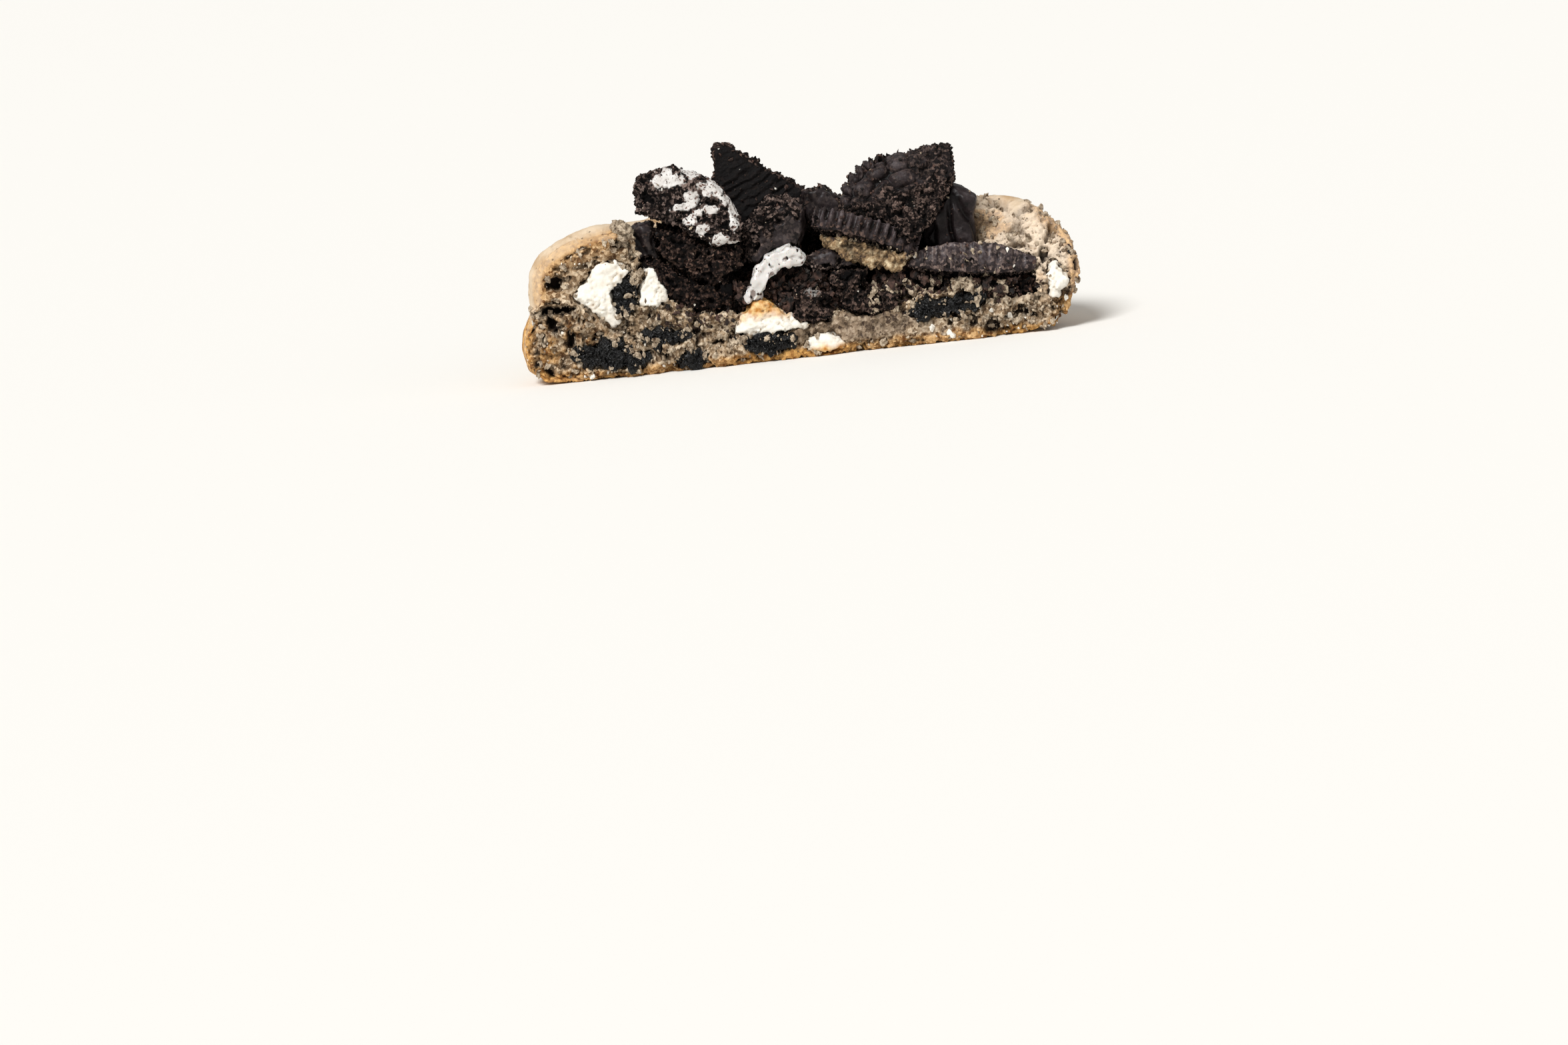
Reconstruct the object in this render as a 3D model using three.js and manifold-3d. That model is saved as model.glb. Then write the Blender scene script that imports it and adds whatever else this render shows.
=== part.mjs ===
// Half of a thick cookies and cream cookie, cut face to the front.
//
// The half rests on its flat baked base. Its rim stands up round a crater that is filled with a bed of
// dark biscuit crumbs, and on the bed lie broken pieces of round, ridged chocolate biscuits. White
// chocolate chunks and dark biscuit pieces run into the dough from the cut face. Millimetres, +Z up,
// X along the cut, the cut face towards -Y. The origin is the middle of the bounding box's base.

import * as THREE from "three";
import { mergeVertices } from "three/addons/utils/BufferGeometryUtils.js";
import Module from "manifold-3d";

const wasm = await Module();
wasm.setup();
const { degToRad, lerp, smoothstep } = THREE.MathUtils;

// ---------------------------------------------------------------- driving dimensions

const GAP = 0.35; // clearance between neighbouring pieces
const FLOOR = 5.8; // dough under the middle of the crater
const BASE_RADIUS = 38; // flat part of the baked base
const TEAR_RELIEF = 1.2; // height of the crags on the cut face
const TEAR_DEPTH = 24; // how far behind the cut those crags still move what is inside
const TEAR_SLOPE = 0.62; // how steeply the right end tore away above its lower lobe
const SKIN_RELIEF = 0.55; // height of the small bumps on the baked skin
const SKIN_SWELL = 1.5; // height of the broad swellings away from the cut

const BED_RISE = 15.2; // height of the crumb bed in the middle of the crater
const BED_RADIUS = 31;
const BED_HOLLOW = 1.9; // how far the bed's face lies behind the cut

const BISCUIT_RADIUS = 22.5;
const WAFER = 4; // thickness of one biscuit wafer
const TEETH = 90; // ridges round a whole biscuit
const TOOTH = 0.5; // height of a ridge
const PITCH = (2 * Math.PI * BISCUIT_RADIUS) / TEETH; // from one ridge to the next

const TURN_STEPS = 22; // sections of the dough from the right end round to the left
const SIDE_STEPS = 8; // steps up the outside of the dough
const TOP_STEPS = 16; // steps from the shoulder to the middle of the crater

// ---------------------------------------------------------------- noise

// A repeatable number from 0 to 1 for a lattice point.
function lattice(i, j, k) {
  const h = (i * 374761393 + j * 668265263 + k * 2147483647) | 0;
  const g = Math.imul(h ^ (h >>> 13), 1274126177);
  return ((g ^ (g >>> 16)) >>> 0) / 4294967295;
}

// Smooth noise from -1 to 1 that changes over about `size` millimetres.
function noise(x, y, z, size) {
  const cell = [x, y, z].map((v) => Math.floor(v / size));
  const [u, v, w] = [x, y, z].map((c, n) => smoothstep(c / size - cell[n], 0, 1));
  const at = (i, j, k) => lattice(cell[0] + i, cell[1] + j, cell[2] + k);
  const row = (j, k) => lerp(at(0, j, k), at(1, j, k), u);
  return 2 * lerp(lerp(row(0, 0), row(1, 0), v), lerp(row(0, 1), row(1, 1), v), w) - 1;
}

// A seeded stream of numbers from -1 to 1.
function stream(seed) {
  let n = 0;
  return () => 2 * lattice(seed, ++n, 7) - 1;
}

// ---------------------------------------------------------------- meshes and solids

// A closed geometry; triangles that have collapsed to a line are left out.
function closedGeometry(points, triangles) {
  const geometry = new THREE.BufferGeometry();
  geometry.setAttribute("position", new THREE.Float32BufferAttribute(points.flat(), 3));
  geometry.setIndex(triangles.filter(([a, b, c]) => a !== b && b !== c && c !== a).flat());
  return mergeVertices(geometry, 1e-5);
}

// Two triangles for every field of a grid of corner numbers.
function grid(rows) {
  const triangles = [];
  for (let t = 0; t + 1 < rows.length; t++) {
    for (let n = 0; n + 1 < rows[t].length; n++) {
      const [a, b, c, d] = [rows[t][n], rows[t][n + 1], rows[t + 1][n + 1], rows[t + 1][n]];
      triangles.push([a, b, c], [a, c, d]);
    }
  }
  return triangles;
}

// Moves every corner of a geometry by a rule from x, y, z to [x, y, z].
function warp(geometry, rule) {
  const at = geometry.getAttribute("position");
  for (let n = 0; n < at.count; n++) at.setXYZ(n, ...rule(at.getX(n), at.getY(n), at.getZ(n)));
  return geometry;
}

// Roughens a body by `height` millimetres, differently for every seed.
function roughen(geometry, height, seed) {
  return warp(geometry, (x, y, z) => [
    x + height * noise(x + seed, y, z, 3),
    y + height * noise(x, y + seed, z, 3),
    z + height * noise(x, y, z + seed, 3),
  ]);
}

// Moves the surface of a body outwards, for cutting the room that its neighbours leave it.
function fattened(geometry, by) {
  geometry.computeVertexNormals();
  const out = geometry.getAttribute("normal");
  const at = geometry.getAttribute("position");
  const shift = new THREE.Vector3();
  for (let n = 0; n < at.count; n++) {
    shift.fromBufferAttribute(out, n).multiplyScalar(1.25 * by);
    at.setXYZ(n, at.getX(n) + shift.x, at.getY(n) + shift.y, at.getZ(n) + shift.z);
  }
  return geometry;
}

// Turns a body by [x, y, z] degrees about its own origin and carries it to `at`.
function placed(geometry, at, turn) {
  const angles = new THREE.Euler(...turn.map(degToRad), "ZYX");
  return geometry.applyMatrix4(new THREE.Matrix4().makeRotationFromEuler(angles).setPosition(...at));
}

function bare(geometry) {
  geometry.deleteAttribute("normal");
  geometry.deleteAttribute("uv");
  return mergeVertices(geometry, 1e-3);
}

function solidOf(geometry) {
  const vertProperties = new Float32Array(geometry.getAttribute("position").array);
  const triVerts = new Uint32Array(geometry.index.array);
  return new wasm.Manifold(new wasm.Mesh({ numProp: 3, vertProperties, triVerts }));
}

// The largest of the bodies that a cut leaves; the scraps are dropped.
function largest(solid) {
  return solid.decompose().reduce((a, b) => (b.volume() > a.volume() ? b : a));
}

function meet(a, b) {
  const [p, q] = [a.boundingBox(), b.boundingBox()];
  return [0, 1, 2].every((k) => p.min[k] < q.max[k] && q.min[k] < p.max[k]);
}

function geometryOf(solid) {
  const { vertProperties, triVerts, numProp } = solid.getMesh();
  const geometry = new THREE.BufferGeometry();
  const corners = [];
  for (let n = 0; n < vertProperties.length; n += numProp) {
    corners.push(...vertProperties.slice(n, n + 3));
  }
  geometry.setAttribute("position", new THREE.Float32BufferAttribute(corners, 3));
  geometry.setIndex(Array.from(triVerts));
  return geometry;
}

// ---------------------------------------------------------------- the cut face

// How far behind the cutting plane the torn face lies at x, z.
function tearDepth(x, z) {
  const slope = TEAR_SLOPE * smoothstep(x, 24, 36) * Math.max(0, z - 8);
  const crags = 0.65 * noise(x, 3, z, 4.6) + 0.5 * noise(x, 9, z, 2.3);
  return slope + TEAR_RELIEF * (0.6 + crags);
}

// Takes what was made against the flat plane y = 0 to the torn face.
function torn(x, y, z) {
  return [x, y + tearDepth(x, z) * Math.max(0, 1 - Math.max(0, y) / TEAR_DEPTH), z];
}

// ---------------------------------------------------------------- dough

// Half sections of the dough as [distance from the middle, height]. Each side runs from the base's edge
// up over the two lobes to the shoulder; each top runs from there over the rim to the crater's middle.
const SECTIONS = {
  left: {
    side: [
      [42.6, 0.4], [45.6, 2.6], [46.4, 7], [45.2, 10.8], [43.6, 13.2], [44.2, 16.6], [42.6, 20.6], [38.9, 23.6],
    ],
    top: [
      [38.9, 23.6], [33.6, 25.6], [29.1, 26], [25.6, 24.2], [24.3, 20.4], [22.8, 16.6], [19.6, 12], [14, 9.8],
      [9.4, 8.4], [0, FLOOR],
    ],
  },
  back: {
    side: [
      [42.4, 0.5], [45.2, 2.6], [46.4, 7], [45.6, 11.4], [44.8, 13.8], [45.2, 16.4], [43, 20], [39, 22.4],
    ],
    top: [
      [39, 22.4], [36, 23.6], [33, 23.4], [29.6, 21.2], [27.8, 17], [26, 12.6], [22, 9.8], [15, 8.2],
      [8, 7], [0, FLOOR],
    ],
  },
  rightBack: {
    side: [
      [42.2, 0.5], [45.6, 2.2], [47, 5.4], [47, 8], [47.8, 11.6], [47.2, 15.4], [45, 19.2], [42.2, 21.6],
    ],
    top: [
      [42.2, 21.6], [39.8, 22.5], [37, 22.4], [34, 20], [31, 16.2], [27.6, 12.2], [23, 9.4], [16, 7.8],
      [8, 7], [0, FLOOR],
    ],
  },
  right: {
    side: [
      [40.5, 0.7], [44.6, 1.5], [46.8, 3.6], [46.4, 5.6], [48.2, 7.8], [48.6, 11], [47.6, 14], [45.6, 16.7],
    ],
    top: [
      [45.6, 16.7], [43.2, 18.6], [40.5, 19], [37.6, 17.8], [34, 15.4], [29.6, 12.4], [24, 9], [17, 7],
      [8, 7.2], [0, FLOOR],
    ],
  },
};

function spaced(points, steps) {
  return new THREE.SplineCurve(points.map((p) => new THREE.Vector2(...p))).getSpacedPoints(steps);
}

// One half section as a row of points from the base's middle round to the crater's middle. `lift` raises
// the top, for cutting the room that the dough leaves what fills the crater.
function halfSection({ side, top }, lift) {
  const [reach, rise] = side[0];
  const base = [];
  for (let n = 0; n < TOP_STEPS; n++) {
    const r = (reach * n) / TOP_STEPS;
    base.push(new THREE.Vector2(r, rise * smoothstep(r, BASE_RADIUS, reach)));
  }
  const over = spaced(top, TOP_STEPS).map((p) => new THREE.Vector2(Math.max(0, p.x - lift), p.y + lift));
  return [...base, ...spaced(side, SIDE_STEPS).slice(0, -1), ...over];
}

// The section at a turn of 0 (right) to 1 (left), with the skin's bumps.
function sectionAt(turn, rows) {
  const next = [["rightBack", 0, 0.12], ["back", 0.12, 0.4], ["left", 0.7, 1]];
  const [c, s] = [Math.cos(Math.PI * turn), Math.sin(Math.PI * turn)];
  return rows.right.map((p, n) => {
    const q = p.clone();
    for (const [name, from, to] of next) q.lerp(rows[name][n], smoothstep(turn, from, to));
    const [x, y] = [q.x * c, q.x * s];
    const free = smoothstep(q.y, 0.2, 2.5) * smoothstep(q.x, 2, 8);
    const bumps = SKIN_RELIEF * (noise(x, y, q.y, 11) + 0.5 * noise(x, y, q.y, 5));
    const swell = free * (bumps + SKIN_SWELL * smoothstep(y, 4, 16) * noise(x, y, q.y, 17));
    return new THREE.Vector2(q.x + swell, q.y + 0.7 * swell);
  });
}

function doughGeometry(lift = 0) {
  const rows = {};
  for (const [name, shape] of Object.entries(SECTIONS)) rows[name] = halfSection(shape, lift);
  const points = [];
  const rings = [];
  for (let t = 0; t <= TURN_STEPS; t++) {
    const angle = (Math.PI * t) / TURN_STEPS;
    const [c, s] = [Math.cos(angle), t === TURN_STEPS ? 0 : Math.sin(angle)];
    const section = sectionAt(t / TURN_STEPS, rows);
    const last = section.length - 1;
    // Every section starts and ends on the axis, where they all share one corner.
    const shared = (n) => t > 0 && (n === 0 || n === last);
    rings.push(section.map((p, n) => (shared(n) ? rings[0][n] : points.push([p.x * c, p.x * s, p.y]) - 1)));
  }
  const skin = grid(rings.toReversed());
  const face = cutFace(points, rings[TURN_STEPS], rings[0]);
  return warp(closedGeometry(points, [...skin, ...face]), torn);
}

// The cut face between the left and the right section, as a grid whose edge is those two sections.
function cutFace(points, left, right) {
  const [last, wide, shoulder] = [left.length - 1, 2 * TOP_STEPS, TOP_STEPS + SIDE_STEPS];
  const bottom = (u) => (u < TOP_STEPS ? left[TOP_STEPS - u] : right[u - TOP_STEPS]);
  const top = (u) => (u < TOP_STEPS ? left[shoulder + u] : right[last + TOP_STEPS - u]);
  // A corner inside lies between the four edges as they bend. Its height follows the two side edges by
  // as much as the face is high there, so that the face stays above the flat base.
  const between = (u, v) => {
    const [s, t] = [u / wide, v / SIDE_STEPS];
    return [0, 1, 2].map((k) => {
      const [b, e] = [points[bottom(u)][k], points[top(u)][k]];
      const [l, r] = [points[left[TOP_STEPS + v]][k], points[right[TOP_STEPS + v]][k]];
      const low = lerp(points[bottom(0)][k], points[bottom(wide)][k], s);
      const high = lerp(points[top(0)][k], points[top(wide)][k], s);
      const share = k === 2 ? (e - b) / (high - low) : 1;
      return lerp(b, e, t) + share * (lerp(l, r, s) - lerp(low, high, t));
    });
  };
  const rows = [];
  for (let v = 0; v <= SIDE_STEPS; v++) {
    const row = [];
    for (let u = 0; u <= wide; u++) {
      if (v === 0) row.push(bottom(u));
      else if (v === SIDE_STEPS) row.push(top(u));
      else if (u === 0) row.push(left[TOP_STEPS + v]);
      else if (u === wide) row.push(right[TOP_STEPS + v]);
      else row.push(points.push(between(u, v)) - 1);
    }
    rows.push(row);
  }
  return grid(rows);
}

// ---------------------------------------------------------------- crumb bed

// A mound of dark crumbs that fills the crater and ends behind the cut in a craggy face.
function bedGeometry() {
  const [turns, steps, low] = [18, 9, 3];
  const points = [];
  const rows = [];
  for (let t = 0; t <= turns; t++) {
    const angle = (Math.PI * t) / turns;
    const row = [];
    for (let n = 0; n <= steps; n++) {
      const r = (BED_RADIUS * n) / steps;
      const [x, y] = [r * Math.cos(angle), t === turns ? 0 : r * Math.sin(angle)];
      const crown = BED_RISE - 2.6 * (n / steps) ** 2 - 2.2 * Math.exp(-y / 4);
      row.push(n === 0 && t > 0 ? rows[0][0] : points.push([x, y, crown + 0.9 * noise(x, y, 5, 4.4)]) - 1);
    }
    rows.push(row);
  }
  const count = points.length;
  for (let n = 0; n < count; n++) points.push([points[n][0], points[n][1], low]);
  const under = (n) => n + count;
  const wall = rows.map((row) => row[steps]);
  const cut = [...rows[turns].toReversed(), ...rows[0].slice(1)];
  const triangles = [
    ...grid(rows),
    ...grid(rows.toReversed().map((row) => row.map(under))),
    ...grid([wall.map(under), wall]),
    ...grid([cut.map(under), cut]),
  ];
  return warp(closedGeometry(points, triangles), (x, y, z) => {
    const hollow = BED_HOLLOW + 1.3 * noise(x, 1, z, 3.4);
    return [x, y + hollow * Math.max(0, 1 - y / TEAR_DEPTH), z];
  });
}

// ---------------------------------------------------------------- broken pieces

// A broken piece whose outline is given as [x, z] points, as it is seen from the front. It runs from
// y = front to y = back and is a little smaller at both ends (`ends`). With `tilt` its top leans back. The
// outline's edges number `ridges[0]` to `ridges[1]` are part of a biscuit's rim, with ridges `tooth` high.
function shard(spec, grow) {
  const { outline, front, back, tilt = 0, ends = [0.88, 0.84], rough = 0.5, seed = 1 } = spec;
  const { ridges = [0, 0], tooth = TOOTH } = spec;
  const corners = outline.map((p) => new THREE.Vector2(...p));
  const ring = corners.flatMap((from, n) => {
    const along = corners[(n + 1) % corners.length].clone().sub(from);
    const ridged = n >= ridges[0] && n < ridges[1];
    const out = new THREE.Vector2(-along.y, along.x).setLength(ridged && grow === 0 ? -tooth : 0);
    const parts = Math.max(1, Math.round(along.length() / (ridged ? PITCH / 2 : 4.5)));
    return Array.from({ length: parts }, (_, k) =>
      along.clone().multiplyScalar(k / parts).add(from).addScaledVector(out, k % 2),
    );
  });
  if (THREE.ShapeUtils.isClockWise(ring)) ring.reverse();
  const middle = ring.reduce((sum, p) => sum.add(p), new THREE.Vector2()).divideScalar(ring.length);
  const outer = offset(ring, grow);
  const layers = [[0.45, -0.04], [ends[0], 0], [1, 0.25], [1, 0.7], [ends[1], 1], [0.45, 1.04]];
  const depth = (t) => lerp(front - 1.3 * grow, back + 1.3 * grow, t);
  const points = [];
  const rows = layers.map(([scale, t]) => {
    const row = outer.map((p) => {
      const { x, y: z } = middle.clone().lerp(p, scale);
      return points.push([x, depth(t) + tilt * (z - middle.y), z]) - 1;
    });
    return [...row, row[0]];
  });
  const [near, far] = [-0.04, 1.04].map((t) => points.push([middle.x, depth(t), middle.y]) - 1);
  const fans = [rows[0].map(() => near), ...rows, rows[0].map(() => far)];
  return roughen(closedGeometry(points, grid(fans.toReversed())), rough, 17 * seed);
}

// An outline moved outwards on every side.
function offset(ring, by) {
  return ring.map((p, n) => {
    const edges = [ring.at(n - 1), ring[(n + 1) % ring.length]].map((q, k) => {
      const along = k ? q.clone().sub(p) : p.clone().sub(q);
      return new THREE.Vector2(along.y, -along.x).normalize();
    });
    const sum = edges[0].clone().add(edges[1]);
    return p.clone().add(sum.multiplyScalar(by / Math.max(0.5, 1 + edges[0].dot(edges[1]))));
  });
}

// A broken block: a ball of the given half sizes, cut by a few seeded planes and roughened.
function block({ size, seed, at, turn, rough = 0.5 }, grow) {
  const draw = stream(seed);
  const planes = Array.from({ length: 9 }, () => ({
    normal: new THREE.Vector3(draw(), draw(), draw()).normalize(),
    distance: 0.7 + 0.14 * draw(),
  }));
  const body = warp(bare(new THREE.IcosahedronGeometry(1, 2)), (x, y, z) => {
    const direction = new THREE.Vector3(x, y, z).normalize();
    const reach = planes.reduce((r, plane) => {
      const facing = plane.normal.dot(direction);
      return facing > 0.05 ? Math.min(r, plane.distance / facing) : r;
    }, 1.05);
    return [size[0] * reach * direction.x, size[1] * reach * direction.y, size[2] * reach * direction.z];
  });
  return placed(fattened(roughen(body, rough, seed), grow), at, turn);
}

// A piece broken from a biscuit's ridged edge. Its origin is the middle of that edge, the edge faces -Y,
// the moulded face is up and the broken side lies `depth` behind. `half` is half the angle of edge that
// is left, and with `taper` the piece thins out towards both ends.
function edgePiece({ half, depth, thick = WAFER, taper = 0, at, turn, seed, rough = 0.4 }, grow) {
  const draw = stream(seed);
  const shape = new THREE.Shape();
  const step = 180 / TEETH;
  const teeth = Math.round(half / step);
  for (let n = -teeth; n <= teeth; n++) {
    const ridge = grow > 0 ? TOOTH / 2 + grow : ((n % 2 ? -1 : 1) * TOOTH) / 2;
    const [r, angle] = [BISCUIT_RADIUS + ridge, degToRad(n * step)];
    const wider = Math.abs(n) === teeth ? grow * Math.sign(n) : 0;
    const corner = [r * Math.sin(angle) + wider, BISCUIT_RADIUS - r * Math.cos(angle)];
    if (n === -teeth) shape.moveTo(...corner);
    else shape.lineTo(...corner);
  }
  const reach = BISCUIT_RADIUS * Math.sin(degToRad(half));
  for (let t = 0; t <= 1; t += 0.2) {
    const far = depth * (0.55 + 0.45 * Math.sin(Math.PI * t)) + draw();
    shape.lineTo(reach * (0.82 - 1.64 * t) + 1.6 * grow * Math.cos(Math.PI * t), far + 1.6 * grow);
  }
  shape.closePath();
  const plate = bare(new THREE.ExtrudeGeometry(shape, { depth: 1, steps: 2, bevelEnabled: false }));
  const body = warp(plate, (x, y, level) => {
    const z = (level - 0.5) * thick * (1 - (taper * x * x) / (reach * reach));
    const lift = (level - 0.5) * 2.4 * grow;
    const broken = rough * smoothstep(y, 2.5, 4.5);
    return [x, y + broken * noise(x, y, 3 * z + seed, 2.4), z + lift + broken * noise(x, y, z, 2.4)];
  });
  return placed(body, at, turn);
}

// ---------------------------------------------------------------- materials

function paint(colour, roughness) {
  return new THREE.MeshStandardMaterial({ color: colour, roughness, metalness: 0 });
}
const DOUGH = paint("#a6957c", 0.9);
const WHITE_CHOCOLATE = paint("#f4f1e6", 0.55);
const TOASTED_WHITE = paint("#f0d9a0", 0.6);
const SUNK_BISCUIT = paint("#1b1b20", 0.6);
const BISCUIT = paint("#33231f", 0.85);
const CRUMBS = paint("#2c1f1c", 0.95);
const SOAKED_CRUMB = paint("#b29a6e", 0.9);
const CREAM = paint("#e6e4df", 0.5);

// ---------------------------------------------------------------- pieces in the dough

// Chunks that show at the cut and run back into the dough; they stand a little proud of the cut.
const IN_DOUGH = [
  {
    name: "white_chunk_left",
    material: WHITE_CHOCOLATE,
    back: 6,
    outline: [
      [-35.9, 14.2], [-33.7, 16.6], [-31.2, 18.9], [-28.2, 19.6], [-26.4, 17.9], [-27.4, 16.6], [-30, 15.6],
      [-30.1, 12.7], [-29, 9.4], [-30.3, 8.6], [-32.9, 11.3],
    ],
  },
  {
    name: "dark_piece_left",
    material: SUNK_BISCUIT,
    back: 5,
    outline: [[-29.3, 15.1], [-26.6, 16.2], [-25.6, 14.6], [-26.8, 11.6], [-28.4, 10.6], [-29.3, 12.8]],
  },
  {
    name: "white_chunk_inner",
    material: WHITE_CHOCOLATE,
    back: 5,
    outline: [
      [-25, 14.3], [-23.9, 15.9], [-23.1, 17.9], [-22.2, 17.9], [-21.7, 15.9], [-20.6, 14.3], [-21.2, 12.3],
      [-22.6, 11.1], [-24.6, 11.6],
    ],
  },
  {
    name: "dark_piece_base_left",
    material: SUNK_BISCUIT,
    back: 7,
    outline: [
      [-37, 5.2], [-34, 5.4], [-30.6, 6], [-27.4, 4.8], [-24.5, 3.2], [-27.3, 1.9], [-31, 2.3], [-35, 3.2],
    ],
  },
  {
    name: "dark_piece_streak_left",
    material: SUNK_BISCUIT,
    back: 5,
    outline: [[-25.9, 6.7], [-21.5, 7], [-17.3, 6], [-19.3, 5.2], [-23.5, 5.1]],
  },
  {
    name: "dark_piece_base_middle",
    material: SUNK_BISCUIT,
    back: 5,
    outline: [[-20.6, 2.5], [-17.9, 3.1], [-15, 2.3], [-15.3, 1.2], [-18, 0.9]],
  },
  {
    name: "toasted_white_chunk",
    material: TOASTED_WHITE,
    back: 8,
    outline: [
      [-10.2, 5.2], [-8.6, 8], [-6.2, 10.1], [-4.4, 10], [-1.6, 7.9], [2.2, 5.3], [-1, 5], [-5.4, 5.2],
    ],
  },
  {
    name: "dark_piece_under_white",
    material: SUNK_BISCUIT,
    back: 7,
    outline: [[-9.8, 4.1], [-6.6, 4.5], [-3.2, 4.4], [-0.6, 3.6], [-0.5, 2.4], [-3.4, 1.7], [-7.2, 2.5]],
  },
  {
    name: "white_chunk_base",
    material: TOASTED_WHITE,
    back: 6,
    outline: [[0.9, 1.8], [2.4, 3.2], [5.2, 3.7], [7.4, 2.8], [7.6, 1.4], [4.4, 0.9]],
  },
  {
    name: "dark_piece_streak_right",
    material: SUNK_BISCUIT,
    back: 6,
    outline: [[18.9, 5.2], [21, 6.6], [26, 6.9], [32.2, 7.2], [31.6, 6], [26, 4.9], [21.5, 4.6]],
  },
  {
    name: "white_chunk_right",
    material: WHITE_CHOCOLATE,
    back: 5,
    outline: [
      [43.3, 10.9], [44.6, 11.2], [45.2, 9.6], [46.4, 8.2], [45, 7.6], [44.2, 5.8], [43.1, 5.6], [43, 8],
    ],
  },
].map((piece) => {
  const form = { front: -0.5, ends: [0.95, 0.6], rough: 0.2, ...piece };
  return { ...piece, make: (grow) => warp(shard(form, grow), torn) };
});

// ---------------------------------------------------------------- pieces on the bed

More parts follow.
